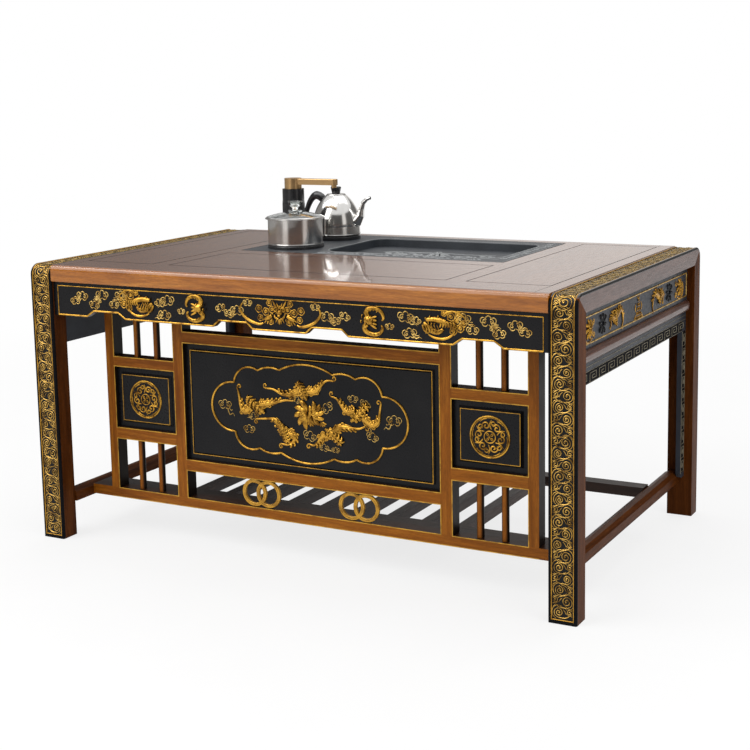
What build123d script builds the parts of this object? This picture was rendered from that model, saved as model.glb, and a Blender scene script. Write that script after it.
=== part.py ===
from build123d import *
import os
from math import cos, radians, sin

# Gongfu tea table with a carved front screen, a sunk stone tray and a built-in tea-making set.
# Millimetres. X runs along the length, Y from the front to the rear, Z up.
# The origin is the centre of the footprint on the floor.

# ---- overall -----------------------------------------------------------------------------
LENGTH = 1600.0
WIDTH = 1000.0
HEIGHT = 780.0

# ---- clearances --------------------------------------------------------------------------
FIT = 0.1               # each side of a tenon, a tongue, an inlay or a turning pin
GROOVE_SLACK = 1.0      # free depth behind a panel's tongue
RUN_FIT = 0.3           # between pieces that lift or turn past each other's faces
OVER = 1.0              # how far a cutter or a root runs past a face

# ---- legs and end rails ------------------------------------------------------------------
LEG_X = 72.0
LEG_Y = 56.0
END_RAIL_Z = 48.0
CORNER_R = 30.0         # where a leg turns into its end rail
EDGE_BEAD_R = 5.0
SPIGOT_X = 24.0         # hidden spigot across the mitre
SPIGOT_Y = 24.0
SPIGOT_FOOT = 50.0
SPIGOT_COVER = 12.0     # wood left above the spigot

# ---- carved cloud band let into the front legs, end rails and rear legs -------------------
BAND_BEAD = 7.0         # plain bead on each side of the band
BAND_T = 4.0
BAND_FOOT = 8.0

# ---- joinery -----------------------------------------------------------------------------
TENON = 20.0            # depth of the main tenons
STUB_TENON = 12.0
TENON_SHOULDER = 6.0    # wood around a tenon
RAIL_TENON_W = 20.0     # tenons of the top's front and rear rails in the legs, under the mitre
RAIL_TENON_Z = 12.0
RAIL_TENON_LIFT = 4.0
TONGUE = 8.0            # depth of a panel's tongue
TONGUE_T = 6.0
TONGUE_SHOULDER = 5.0   # wood beside a tongue or between a groove and a tenon

# ---- top ---------------------------------------------------------------------------------
TOP_SETBACK = 2.0       # the nose stands this far behind the leg's face
TOP_RAIL_T = 46.0
NOSE_R = 14.0
NOSE_UNDER_R = 4.0
TOP_MEMBER_T = 40.0     # stiles, dividers and tray rail
TOP_PANEL_T = 18.0
TONGUE_COVER = 9.0      # wood above a top panel's tongue
SHADOW_LINE = 1.0       # open line round each top panel
FRONT_RAIL_W = 118.0
REAR_RAIL_W = 56.0
END_STILE_W = 38.0
SIDE_PANEL_W = 220.0
DIVIDER_W = 55.0
TRAY_RAIL_W = 64.0
TRAY_OPEN_Y = 466.0
BATTEN_W = 40.0
SIDE_BATTENS = 2
FRONT_BATTENS = 2
LEDGER_Z = 22.0
LEDGER_REACH = 12.0     # how far a ledger reaches under the tray
LEDGER_HOLD = 25.0      # how far it lies under the wood beside the tray

# ---- stone tray --------------------------------------------------------------------------
TRAY_GAP = 1.0
TRAY_T = 40.0
PLATFORM_X = 240.0      # flat part on the left that carries the tea-making set
TRAY_BORDER_X = 50.0
TRAY_BORDER_FRONT = 66.0
TRAY_BORDER_REAR = 57.0
BASIN_DEPTH = 24.0
BASIN_CORNER_R = 50.0
BASIN_RIM_R = 3.0
DRAIN_FROM_RIGHT = 110.0    # drain centre from the basin's right side, between two of the foot bars
DRAIN_FROM_FRONT = 150.0
STRAINER_R = 28.0
STRAINER_T = 3.0
STRAINER_HOLE_R = 3.0
STRAINER_HOLES = 8
STRAINER_HOLE_INSET = 1.0       # holes stay this far inside the neck
DRAIN_NECK_R = 15.0
DRAIN_NECK_FREE = 2.0   # the neck stops this far under the strainer's seat
DRAIN_FLANGE_R = 23.0
DRAIN_FLANGE_T = 6.0
DRAIN_TAIL_R = 12.5
DRAIN_TAIL_Z = 34.0
DRAIN_BORE_R = 9.0

# ---- aprons ------------------------------------------------------------------------------
APRON_SETBACK = 12.0
APRON_T = 20.0
APRON_Z = 93.0
APRON_RISE = 16.0       # how far the scallops rise from the lower edge
APRON_CENTRE_DROP = 78.0        # half width of the low middle
APRON_CENTRE_RAMP = 18.0
APRON_CENTRE_RISE_W = 87.0
APRON_END_LOW = 113.0   # low stretch beside each leg
APRON_END_RAMP = 24.0
APRON_END_RISE_W = 83.0
APRON_TONGUE = 10.0
APRON_RELIEF_T = 5.0

# ---- carved ends -------------------------------------------------------------------------
END_SETBACK = 22.0
END_BOARD_T = 16.0
END_BOARD_Z = 132.0
END_MOULDING_Z = 31.0
END_MOULDING_LIFT = 3.0         # from the board's lower edge to the moulding
END_MOULDING_OUT = 13.0
END_MOULDING_R = 12.0
END_MOULDING_GAP = 8.0          # from the moulding's end to the leg
FRET_APRON_Z = 52.0
FRET_T = 14.0
FRET_STRIP_Y = 34.0
FRET_FOOT = 118.0
FRET_CHAMFER = 12.0
END_RELIEF_T = 4.0
END_GOLD_Z = 68.0       # height of the carved field
END_GOLD_DROP = 11.0    # from the rail's underside to the carved field

# ---- stretchers and footrest -------------------------------------------------------------
FOOT_RAIL_FOOT = 101.0
FOOT_RAIL_Z = 28.5
STRETCHER_W = 40.0
STRETCHER_FOOT = 98.0
STRETCHER_Z = 34.0
STRETCHER_OUT_BEVEL = 10.0
STRETCHER_IN_BEVEL_X = 16.0
STRETCHER_IN_BEVEL_Z = 8.0
FOOTBOARD_W = 48.0
REAR_STRETCHER_W = 44.0
REAR_STRETCHER_INSET = 220.0    # rear face to the table's rear
FOOT_BARS = 9
FOOT_BAR_X = 28.0
FOOT_BAR_Z = 26.0
FOOT_BAR_PITCH = 102.0

# ---- front screen ------------------------------------------------------------------------
SCREEN_SETBACK = 132.0
SCREEN_T = 40.0
HEAD_RAIL_Z = 28.0
SCREEN_END_GAP = 74.0   # from the leg's inner face to the outer stile
OUTER_STILE_W = 28.5
INNER_STILE_W = 34.0
BAY_W = 203.5
RING_GAP = 76.0
PANEL_BOTTOM_RAIL_Z = 32.5
PANEL_OPEN_Z = 326.5
PANEL_TOP_RAIL_Z = 32.5
BAY_LOWER_Z = 143.5
BAY_LOWER_RAIL_Z = 33.5
BAY_PANEL_Z = 175.0
BAY_UPPER_RAIL_Z = 29.5
PANEL_SHOULDER = 14.0   # wood kept between a panel's groove and a rail's tenon
PLATE_SETBACK = 12.0    # a panel's margin lies this far behind the frame's face
PLATE_T = 12.0
FIELD_RISE = 8.0
FIELD_BEVEL = 7.0
CENTRE_FIELD_INSET_X = 18.0
CENTRE_FIELD_INSET_Z = 16.0
BAY_FIELD_INSET = 16.0
MEDALLION_R = 55.0
MEDALLION_T = 5.0
SPINDLE_R = 9.5
SPINDLE_PIN_R = 5.0
SPINDLE_PIN = 10.0
SPINDLES_PER_BAY = 2
RING_R = 38.2
RING_BAND = 10.0
RING_T = 8.0
RING_SETBACK = 4.0
RING_CENTRES = 44.0
RING_PAIR_X = 150.0

# ---- scalloped cartouche and its carving --------------------------------------------------
CARTOUCHE_BEAD = 6.0
CARTOUCHE_T = 4.0
CARTOUCHE_RIGHT = 302.0         # end lobe's outermost point
CARTOUCHE_TOP = 134.0           # top lobe's highest point above the centre
CUSP_END = (228.0, 68.0)        # between the end lobe and the corner lobe
CUSP_CORNER = (150.0, 107.0)    # between the corner lobe and the small lobe
CUSP_TOP = (82.0, 113.0)        # between the small lobe and the top lobe
LOBE_CORNER = (196.0, 110.0)    # highest part of the corner lobe
LOBE_SMALL = (115.0, 118.0)
SCREEN_RELIEF_T = 5.0

# ---- carved motifs: shape, size, distance across, distance up, turn in degrees --------------
# Sizes and distances are shares of the carved field's half length, from the field's middle.
SCREEN_MOTIFS = (
    ("flower", 0.113, 0.010, 0.007, 0),
    ("bat", 0.523, -0.040, 0.238, 6),
    ("bat", 0.497, -0.546, 0.046, -12),
    ("bat", 0.470, 0.553, 0.080, 10),
    ("bat", 0.437, -0.278, -0.166, -152),
    ("bat", 0.497, 0.318, -0.132, 178),
    ("cloud", 0.152, -0.868, -0.013, 0),
    ("cloud", 0.152, 0.854, 0.013, 0),
    ("cloud", 0.132, -0.616, -0.192, 0),
    ("cloud", 0.146, 0.636, -0.146, 0),
    ("cloud", 0.152, 0.073, -0.291, 0),
)
APRON_MIDDLE_MOTIF = ("flower", 0.037, 0.0, -0.003, 0)
APRON_SIDE_MOTIFS = (
    ("cloud", 0.080, 0.152, 0.003, 0),
    ("cloud", 0.060, 0.244, -0.003, 0),
    ("bat", 0.091, 0.344, -0.003, 90),
    ("cloud", 0.033, 0.413, -0.020, 0),
    ("cloud", 0.092, 0.481, 0.008, 0),
    ("cloud", 0.134, 0.604, 0.001, 0),
    ("cloud", 0.070, 0.714, 0.010, 0),
    ("cloud", 0.070, 0.790, 0.000, 0),
    ("cloud", 0.064, 0.865, 0.008, 0),
)
END_MIDDLE_MOTIF = ("flower", 0.054, 0.0, 0.0, 0)
END_SIDE_MOTIFS = (
    ("bat", 0.248, 0.405, 0.0, 0),
    ("flower", 0.041, 0.615, 0.0, 0),
    ("bat", 0.194, 0.831, 0.0, 0),
)

# ---- tea-making set ----------------------------------------------------------------------
HOB_CASE_Z = 48.0
HOB_CASE_EDGE = 15.0            # inside the tray's left edge
HOB_CASE_BASIN_GAP = 25.0
HOB_CASE_FRONT_GAP = 44.0
HOB_CASE_REAR_GAP = 12.0
BOSS_R = 30.0
POT_FROM_LEFT = 112.0           # centres from the tray opening's left edge and front edge
POT_FROM_FRONT = 124.0
KETTLE_FROM_LEFT = 115.0
KETTLE_FROM_FRONT = 364.0
COLUMN_FROM_LEFT = 37.0
COLUMN_FROM_FRONT = 239.0
POT_HEATER_R = 83.0
POT_HEATER_T = 9.0
KETTLE_HEATER_R = 74.0
KETTLE_HEATER_T = 11.0
HEATER_EDGE = 2.0

COLUMN_R = 33.0
COLUMN_Z = 163.0
COLUMN_STUB_R = 18.0
WATER_BORE_R = 5.0
FAUCET_CAP_R = 26.0
FAUCET_CAP_Z = 32.0
FAUCET_PIN_R = 15.0
FAUCET_PIN_Z = 20.0
FAUCET_BORE_FREE = 2.0
FAUCET_REACH = 154.0
FAUCET_ARM_Y = 24.0
FAUCET_ARM_Z = 18.0
FAUCET_ARM_DROP = 1.0
FAUCET_END_R = 11.0             # rounding of the arm's free end
FAUCET_EDGE_R = 2.0
NOZZLE_R = 8.0
NOZZLE_Z = 8.0
NOZZLE_BACK = 11.0

KETTLE_R = 73.0
KETTLE_FOOT_R = 4.0
KETTLE_SIDE_Z = 30.0            # the dome starts here
KETTLE_WAIST_R = 72.0
KETTLE_DOME = (57.0, 93.0)      # a point on the dome
KETTLE_TOP_R = 30.0
KETTLE_Z = 125.0
KETTLE_WALL = 1.5
KETTLE_MOUTH_R = 26.0
KETTLE_LID_R = 29.0
KETTLE_LID_T = 3.0
KETTLE_PLUG_R = 25.0
KETTLE_PLUG_Z = 6.0
KETTLE_KNOB_LOW_R = 12.0
KETTLE_KNOB_TOP_R = 17.0
KETTLE_KNOB_Z = 22.0
KETTLE_KNOB_EDGE = 3.0
SPOUT_WALL = 1.5
# each station of the spout: distance from the kettle's axis, height, outer radius, climb in degrees
SPOUT = (
    (50.0, 43.0, 21.0, 0.0),
    (72.0, 46.0, 18.0, 35.0),
    (83.0, 63.0, 13.5, 72.0),
    (88.0, 84.0, 9.8, 76.0),
    (96.0, 103.0, 7.2, 55.0),
    (108.0, 113.5, 5.6, 28.0),
    (120.0, 117.5, 5.0, 12.0),
)
HANDLE_PATH = ((-40.0, 98.0), (-58.0, 131.0), (-98.0, 131.0), (-112.0, 92.0), (-108.0, 40.0), (-66.0, 26.0))
HANDLE_BEND_R = 14.0
HANDLE_Y = 9.0                  # half width of the grip
HANDLE_T = 7.0                  # half thickness of the grip

POT_R = 81.5
POT_WALL = 1.5
POT_Z = 79.0
POT_FOOT_R = 3.0
POT_RIM_R = 89.0
POT_RIM_T = 2.0
POT_LID_LAP = 2.5       # how far the lid reaches past the pot's wall, on its rim
POT_LID_T = 3.5
POT_LID_RISE = 17.0
POT_COLLAR_R = 21.0
POT_COLLAR_Z = 5.0
POT_NECK_R = 9.0
POT_NECK_Z = 5.0
POT_KNOB_R = 21.0
POT_KNOB_Z = 22.0
POT_KNOB_TOP_R = 13.0

# ---- places worked out from the sizes above -----------------------------------------------
HALF_L = LENGTH / 2
HALF_W = WIDTH / 2
END_IN = HALF_L - LEG_X
END_OPEN = HALF_W - LEG_Y
RAIL_UNDER = HEIGHT - END_RAIL_Z
BAND_X0 = END_IN + BAND_BEAD
BAND_X1 = HALF_L - BAND_BEAD

TOP_FRONT = TOP_SETBACK - HALF_W
TOP_REAR = HALF_W - TOP_SETBACK
FRONT_RAIL_IN = TOP_FRONT + FRONT_RAIL_W
REAR_RAIL_IN = TOP_REAR - REAR_RAIL_W
STILE_IN = END_IN - END_STILE_W
SIDE_IN = STILE_IN - SIDE_PANEL_W
TRAY_HALF = SIDE_IN - DIVIDER_W
TRAY_FRONT = REAR_RAIL_IN - TRAY_OPEN_Y
TRAY_RAIL_FRONT = TRAY_FRONT - TRAY_RAIL_W
TOP_RAIL_UNDER = HEIGHT - TOP_RAIL_T
MEMBER_UNDER = HEIGHT - TOP_MEMBER_T
PANEL_UNDER = HEIGHT - TOP_PANEL_T
TOP_TONGUE_Z1 = HEIGHT - TONGUE_COVER
TOP_TONGUE_Z0 = TOP_TONGUE_Z1 - TONGUE_T
TOP_TENON_Z0 = MEMBER_UNDER + TENON_SHOULDER
TOP_TENON_Z1 = TOP_TONGUE_Z0 - TONGUE_SHOULDER

TRAY_UNDER = HEIGHT - TRAY_T
BASIN_X0 = PLATFORM_X - TRAY_HALF
BASIN_X1 = TRAY_HALF - TRAY_BORDER_X
BASIN_Y0 = TRAY_FRONT + TRAY_BORDER_FRONT
BASIN_Y1 = REAR_RAIL_IN - TRAY_BORDER_REAR
BASIN_FLOOR = HEIGHT - BASIN_DEPTH
DRAIN_X = BASIN_X1 - DRAIN_FROM_RIGHT
DRAIN_Y = BASIN_Y0 + DRAIN_FROM_FRONT

APRON_FRONT = APRON_SETBACK - HALF_W
APRON_BACK = APRON_FRONT + APRON_T
APRON_LOW = TOP_RAIL_UNDER - APRON_Z
APRON_HIGH = APRON_LOW + APRON_RISE

END_FACE = HALF_L - END_SETBACK
END_BACK = END_FACE - END_BOARD_T
END_BOARD_FOOT = RAIL_UNDER - END_BOARD_Z
FRET_APRON_FOOT = END_BOARD_FOOT - FRET_APRON_Z

STRETCHER_OUT = END_BACK
STRETCHER_IN = STRETCHER_OUT - STRETCHER_W
STRETCHER_TOP = STRETCHER_FOOT + STRETCHER_Z
FOOT_RAIL_TOP = FOOT_RAIL_FOOT + FOOT_RAIL_Z
SCREEN_FRONT = SCREEN_SETBACK - HALF_W
SCREEN_BACK = SCREEN_FRONT + SCREEN_T
SCREEN_MID = (SCREEN_FRONT + SCREEN_BACK) / 2
FOOTBOARD_BACK = SCREEN_BACK + FOOTBOARD_W
REAR_STRETCHER_BACK = HALF_W - REAR_STRETCHER_INSET
REAR_STRETCHER_FRONT = REAR_STRETCHER_BACK - REAR_STRETCHER_W
HEAD_RAIL_UNDER = MEMBER_UNDER - HEAD_RAIL_Z

OUTER_STILE_OUT = END_IN - SCREEN_END_GAP
OUTER_STILE_IN = OUTER_STILE_OUT - OUTER_STILE_W
INNER_STILE_OUT = OUTER_STILE_IN - BAY_W
INNER_STILE_IN = INNER_STILE_OUT - INNER_STILE_W
PANEL_Z0 = FOOT_RAIL_TOP + RING_GAP + PANEL_BOTTOM_RAIL_Z
PANEL_Z1 = PANEL_Z0 + PANEL_OPEN_Z
BAY_LOWER_TOP = FOOT_RAIL_TOP + BAY_LOWER_Z
BAY_Z0 = BAY_LOWER_TOP + BAY_LOWER_RAIL_Z
BAY_Z1 = BAY_Z0 + BAY_PANEL_Z
BAY_UPPER_TOP = BAY_Z1 + BAY_UPPER_RAIL_Z
PLATE_FRONT = SCREEN_FRONT + PLATE_SETBACK
PLATE_BACK = PLATE_FRONT + PLATE_T
FIELD_FACE = PLATE_FRONT - FIELD_RISE
SCREEN_TENON_Y0 = SCREEN_MID - TENON_SHOULDER
SCREEN_TENON_Y1 = SCREEN_MID + TENON_SHOULDER

POT_X = POT_FROM_LEFT - TRAY_HALF
POT_Y = TRAY_FRONT + POT_FROM_FRONT
POT_BASE = HEIGHT + POT_HEATER_T
POT_LID_R = POT_R + POT_LID_LAP
KETTLE_X = KETTLE_FROM_LEFT - TRAY_HALF
KETTLE_Y = TRAY_FRONT + KETTLE_FROM_FRONT
KETTLE_BASE = HEIGHT + KETTLE_HEATER_T
COLUMN_X = COLUMN_FROM_LEFT - TRAY_HALF
COLUMN_Y = TRAY_FRONT + COLUMN_FROM_FRONT
COLUMN_TOP = HEIGHT + COLUMN_Z


# ---- helpers -----------------------------------------------------------------------------
def block(x0, x1, y0, y1, z0, z1):
    """Box between two opposite corners."""
    return Pos((x0 + x1) / 2, (y0 + y1) / 2, (z0 + z1) / 2) * Box(x1 - x0, y1 - y0, z1 - z0)


def socket(tenon):
    """Mortise for a tenon given as block() takes it."""
    x0, x1, y0, y1, z0, z1 = tenon
    return block(x0 - FIT, x1 + FIT, y0 - FIT, y1 + FIT, z0 - FIT, z1 + FIT)


def rod(x, y, z0, z1, radius):
    """Upright cylinder."""
    return Pos(x, y, (z0 + z1) / 2) * Cylinder(radius, z1 - z0)


def flip_x(shape):
    return mirror(shape, about=Plane.YZ)


def flip_y(shape):
    return mirror(shape, about=Plane.XZ)


def both_sides(shape):
    """A right-hand piece and its left-hand twin."""
    return [flip_x(shape), shape]


def facing_front(y):
    """Plane at depth y whose normal points to the front, with X across and Z up."""
    return Plane(origin=(0, y, 0), x_dir=(1, 0, 0), z_dir=(0, -1, 0))


def facing_right(x):
    """Plane at distance x whose normal points to the right, with Y across and Z up."""
    return Plane(origin=(x, 0, 0), x_dir=(0, 1, 0), z_dir=(1, 0, 0))


def plate(plane, outline, thick):
    """Raise a flat outline on a plane by thick, to the side that the plane faces."""
    return extrude(plane * outline, thick, dir=plane.z_dir)


def evenly(count, low, high):
    """Places that divide a stretch into count + 1 equal steps."""
    step = (high - low) / (count + 1)
    return [low + step * (i + 1) for i in range(count)]


# ---- ends --------------------------------------------------------------------------------
def end_outline(x0, x1, inset):
    """Block of one end, with its two top corners rounded and its faces moved in by inset."""
    solid = block(x0, x1, inset - HALF_W, HALF_W - inset, 0, HEIGHT - inset)
    corners = solid.edges().filter_by(Axis.X).group_by(Axis.Z)[-1]
    return fillet(corners, CORNER_R - inset)


def end_hoop():
    """Right end: both legs and the end rail in one, with beaded edges and the band's groove."""
    solid = end_outline(END_IN, HALF_L, 0)
    sides = solid.faces().sort_by(Axis.X)
    beads = [edge for side in (sides[0], sides[-1]) for edge in side.edges() if edge.center().Z > 0]
    solid = fillet(beads, EDGE_BEAD_R)
    solid -= block(END_IN - OVER, HALF_L + OVER, -END_OPEN, END_OPEN, -OVER, RAIL_UNDER)
    groove = block(BAND_X0 - FIT, BAND_X1 + FIT, -HALF_W - OVER, HALF_W + OVER, BAND_FOOT - FIT, HEIGHT + OVER)
    return solid - (groove - end_outline(BAND_X0 - OVER, BAND_X1 + OVER, BAND_T + FIT))


def leg_region():
    """Everything on the front leg's side of its mitre."""
    reach = 2 * LEG_Y
    rise = reach * END_RAIL_Z / LEG_Y
    outline = [
        (-END_OPEN, -OVER),
        (-END_OPEN, RAIL_UNDER),
        (-END_OPEN - reach, RAIL_UNDER + rise),
        (-END_OPEN - reach, -OVER),
    ]
    return plate(facing_right(END_IN - OVER), Polygon(*outline, align=None), LEG_X + 2 * OVER)


def cloud_band():
    """Carved strip that follows the outside of the right end."""
    strip = end_outline(BAND_X0, BAND_X1, 0) - end_outline(BAND_X0 - OVER, BAND_X1 + OVER, BAND_T)
    return strip - block(BAND_X0 - OVER, BAND_X1 + OVER, -HALF_W - OVER, HALF_W + OVER, -OVER, BAND_FOOT)


LEG_MID_X = (END_IN + HALF_L) / 2
LEG_MID_Y = -(END_OPEN + HALF_W) / 2
MITRE_SPIGOT = (
    LEG_MID_X - SPIGOT_X / 2, LEG_MID_X + SPIGOT_X / 2,
    LEG_MID_Y - SPIGOT_Y / 2, LEG_MID_Y + SPIGOT_Y / 2,
    RAIL_UNDER - SPIGOT_FOOT, HEIGHT - SPIGOT_COVER,
)
APRON_TENON = (
    END_IN - OVER, END_IN + APRON_TONGUE, APRON_FRONT + TENON_SHOULDER, APRON_BACK - TENON_SHOULDER,
    APRON_LOW + TENON_SHOULDER, TOP_RAIL_UNDER - TENON_SHOULDER,
)
STRETCHER_TENON = (
    STRETCHER_IN + 2 * TENON_SHOULDER, STRETCHER_OUT - 2 * TENON_SHOULDER,
    -END_OPEN - TENON, OVER - END_OPEN,
    STRETCHER_FOOT + TENON_SHOULDER, STRETCHER_TOP - 2 * TENON_SHOULDER,
)
END_BOARD_TONGUE = (
    END_BACK + TONGUE_SHOULDER, END_FACE - TONGUE_SHOULDER, -END_OPEN - TONGUE, OVER - END_OPEN,
    END_BOARD_FOOT + TENON_SHOULDER, RAIL_UNDER - TENON_SHOULDER,
)
RAIL_LEG_TENON = (
    END_IN - OVER, END_IN + TENON, TENON_SHOULDER - HALF_W, TENON_SHOULDER + RAIL_TENON_W - HALF_W,
    TOP_RAIL_UNDER + RAIL_TENON_LIFT, TOP_RAIL_UNDER + RAIL_TENON_LIFT + RAIL_TENON_Z,
)
FRONT_RAIL_TENON = (
    END_IN - OVER, END_IN + TENON, TENON_SHOULDER - END_OPEN, FRONT_RAIL_IN - 2 * TENON_SHOULDER,
    TOP_TENON_Z0, TOP_TENON_Z1,
)


def front_leg():
    """Front right leg."""
    leg = (end_hoop() & leg_region()) + block(*MITRE_SPIGOT)
    for tenon in (APRON_TENON, STRETCHER_TENON, END_BOARD_TONGUE, RAIL_LEG_TENON):
        leg -= socket(tenon)
    return leg


def end_rail():
    """Right end rail, mitred to both legs."""
    region = leg_region()
    rail = end_hoop() - region - flip_y(region)
    rail -= socket(MITRE_SPIGOT) + flip_y(socket(MITRE_SPIGOT))
    return rail - socket(FRONT_RAIL_TENON)


def end_board():
    """Carved board under the right end rail."""
    board = block(END_BACK, END_FACE, -END_OPEN, END_OPEN, END_BOARD_FOOT, RAIL_UNDER)
    return board + block(*END_BOARD_TONGUE) + flip_y(block(*END_BOARD_TONGUE))


def end_moulding():
    """Half-round moulding with rounded ends on the right end board."""
    half = END_OPEN - END_MOULDING_GAP
    z0 = END_BOARD_FOOT + END_MOULDING_LIFT
    bar = block(END_FACE, END_FACE + END_MOULDING_OUT, -half, half, z0, z0 + END_MOULDING_Z)
    return fillet(bar.faces().sort_by(Axis.X)[-1].edges(), END_MOULDING_R)


def end_fret():
    """Fret apron under the right end board, with a strip down the inside of each leg."""
    inner = END_OPEN - FRET_STRIP_Y
    outline = [(END_OPEN, END_BOARD_FOOT), (END_OPEN, FRET_FOOT), (inner + FRET_CHAMFER, FRET_FOOT),
               (inner, FRET_FOOT + FRET_CHAMFER), (inner, FRET_APRON_FOOT)]
    outline += [(-y, z) for y, z in reversed(outline)]
    return plate(facing_right(END_BACK), Polygon(*outline, align=None), FRET_T)


# ---- top ---------------------------------------------------------------------------------
TOP_OPENINGS = {
    "top_panel_left": (-STILE_IN, -SIDE_IN, FRONT_RAIL_IN, REAR_RAIL_IN),
    "top_panel_right": (SIDE_IN, STILE_IN, FRONT_RAIL_IN, REAR_RAIL_IN),
    "top_panel_front": (-TRAY_HALF, TRAY_HALF, FRONT_RAIL_IN, TRAY_RAIL_FRONT),
}
DIVIDER_TENON_Y = (FRONT_RAIL_IN - TENON, REAR_RAIL_IN + TENON)
END_STILE_TENONS = (
    STILE_IN + TENON_SHOULDER, END_IN - TENON_SHOULDER, *DIVIDER_TENON_Y, TOP_TENON_Z0, TOP_TENON_Z1,
)
DIVIDER_TENONS = (
    TRAY_HALF + TENON_SHOULDER, SIDE_IN - TENON_SHOULDER, *DIVIDER_TENON_Y, TOP_TENON_Z0, TOP_TENON_Z1,
)
TRAY_RAIL_TENONS = (
    -TRAY_HALF - STUB_TENON, TRAY_HALF + STUB_TENON,
    TRAY_RAIL_FRONT + 2 * TENON_SHOULDER, TRAY_FRONT - TENON_SHOULDER, TOP_TENON_Z0, TOP_TENON_Z1,
)


def side_battens():
    """Blocks of the battens under the right-hand top panel."""
    return [(SIDE_IN - TONGUE, STILE_IN + TONGUE, y - BATTEN_W / 2, y + BATTEN_W / 2, MEMBER_UNDER, PANEL_UNDER)
            for y in evenly(SIDE_BATTENS, FRONT_RAIL_IN, REAR_RAIL_IN)]


def front_battens():
    """Blocks of the battens under the front top panel."""
    return [(x - BATTEN_W / 2, x + BATTEN_W / 2, FRONT_RAIL_IN - TONGUE, TRAY_RAIL_FRONT + TONGUE,
             MEMBER_UNDER, PANEL_UNDER)
            for x in evenly(FRONT_BATTENS, -TRAY_HALF, TRAY_HALF)]


def cut_for_panels(member):
    """Groove a member for the tongues of the top panels beside it."""
    deep = TONGUE + GROOVE_SLACK
    for x0, x1, y0, y1 in TOP_OPENINGS.values():
        member -= block(x0 - deep, x1 + deep, y0 - deep, y1 + deep, TOP_TONGUE_Z0 - FIT, TOP_TONGUE_Z1 + FIT)
    return member


def top_panel(opening):
    """Panel of the top, flush with its frame, with a tongue all round."""
    x0, x1, y0, y1 = opening
    line = SHADOW_LINE
    panel = block(x0 + line, x1 - line, y0 + line, y1 - line, PANEL_UNDER, HEIGHT)
    return panel + block(x0 - TONGUE, x1 + TONGUE, y0 - TONGUE, y1 + TONGUE, TOP_TONGUE_Z0, TOP_TONGUE_Z1)


def cross_rail(y0, y1, nose, tenons):
    """Front or rear rail of the top; nose is -1 where its rounded edge faces the front."""
    rail = block(-END_IN, END_IN, y0, y1, TOP_RAIL_UNDER, HEIGHT)
    side = 0 if nose < 0 else -1
    rail = fillet(rail.edges().filter_by(Axis.X).group_by(Axis.Y)[side].sort_by(Axis.Z)[-1], NOSE_R)
    rail = fillet(rail.edges().filter_by(Axis.X).group_by(Axis.Y)[side].sort_by(Axis.Z)[0], NOSE_UNDER_R)
    for tenon in tenons:
        rail += block(*tenon) + flip_x(block(*tenon))
    for tenon in (DIVIDER_TENONS, END_STILE_TENONS):
        rail -= socket(tenon) + flip_x(socket(tenon))
    return cut_for_panels(rail)


def front_rail():
    """Front rail of the top, housed for the front battens."""
    rail = cross_rail(TOP_FRONT, FRONT_RAIL_IN, -1, (RAIL_LEG_TENON, FRONT_RAIL_TENON))
    for batten in front_battens():
        rail -= socket(batten)
    return rail


def rear_rail():
    """Rear rail of the top."""
    x0, x1, y0, y1, z0, z1 = RAIL_LEG_TENON
    return cross_rail(REAR_RAIL_IN, TOP_REAR, 1, [(x0, x1, -y1, -y0, z0, z1)])


def end_stile():
    """Right-hand stile between the side panel and the end rail."""
    stile = block(STILE_IN, END_IN, FRONT_RAIL_IN, REAR_RAIL_IN, MEMBER_UNDER, HEIGHT) + block(*END_STILE_TENONS)
    for batten in side_battens():
        stile -= socket(batten)
    return cut_for_panels(stile)


def divider():
    """Right-hand divider between the side panel and the tray."""
    bar = block(TRAY_HALF, SIDE_IN, FRONT_RAIL_IN, REAR_RAIL_IN, MEMBER_UNDER, HEIGHT) + block(*DIVIDER_TENONS)
    for batten in side_battens():
        bar -= socket(batten)
    return cut_for_panels(bar) - socket(TRAY_RAIL_TENONS)


def tray_rail():
    """Rail between the front panel and the tray."""
    rail = block(-TRAY_HALF, TRAY_HALF, TRAY_RAIL_FRONT, TRAY_FRONT, MEMBER_UNDER, HEIGHT) + block(*TRAY_RAIL_TENONS)
    for batten in front_battens():
        rail -= socket(batten)
    return cut_for_panels(rail)


def tray_ledgers():
    """Bars under the dividers and the tray rail that carry the tray."""
    under = MEMBER_UNDER - LEDGER_Z
    inner = TRAY_HALF - LEDGER_REACH
    side = block(inner, TRAY_HALF + LEDGER_HOLD, TRAY_RAIL_FRONT, REAR_RAIL_IN, under, MEMBER_UNDER)
    front = block(-inner, inner, TRAY_FRONT - LEDGER_HOLD, TRAY_FRONT + LEDGER_REACH, under, MEMBER_UNDER)
    return both_sides(side) + [front]


# ---- tray --------------------------------------------------------------------------------
def border_sectors():
    """Regions of the front, right, rear and left border slabs, mitred through the basin's corners."""
    x0, x1 = BASIN_X0 + BASIN_CORNER_R, BASIN_X1 - BASIN_CORNER_R
    y0, y1 = BASIN_Y0 + BASIN_CORNER_R, BASIN_Y1 - BASIN_CORNER_R
    reach = 2 * TRAY_HALF
    inner = ((x0, y0), (x1, y0), (x1, y1), (x0, y1))
    outer = ((x0 - reach, y0 - reach), (x1 + reach, y0 - reach), (x1 + reach, y1 + reach), (x0 - reach, y1 + reach))
    sectors = []
    for i in range(4):
        j = (i + 1) % 4
        outline = Polygon(inner[i], inner[j], outer[j], outer[i], align=None)
        sectors.append(plate(Plane(origin=(0, 0, BASIN_FLOOR)), outline, BASIN_DEPTH))
    return sectors


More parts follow.
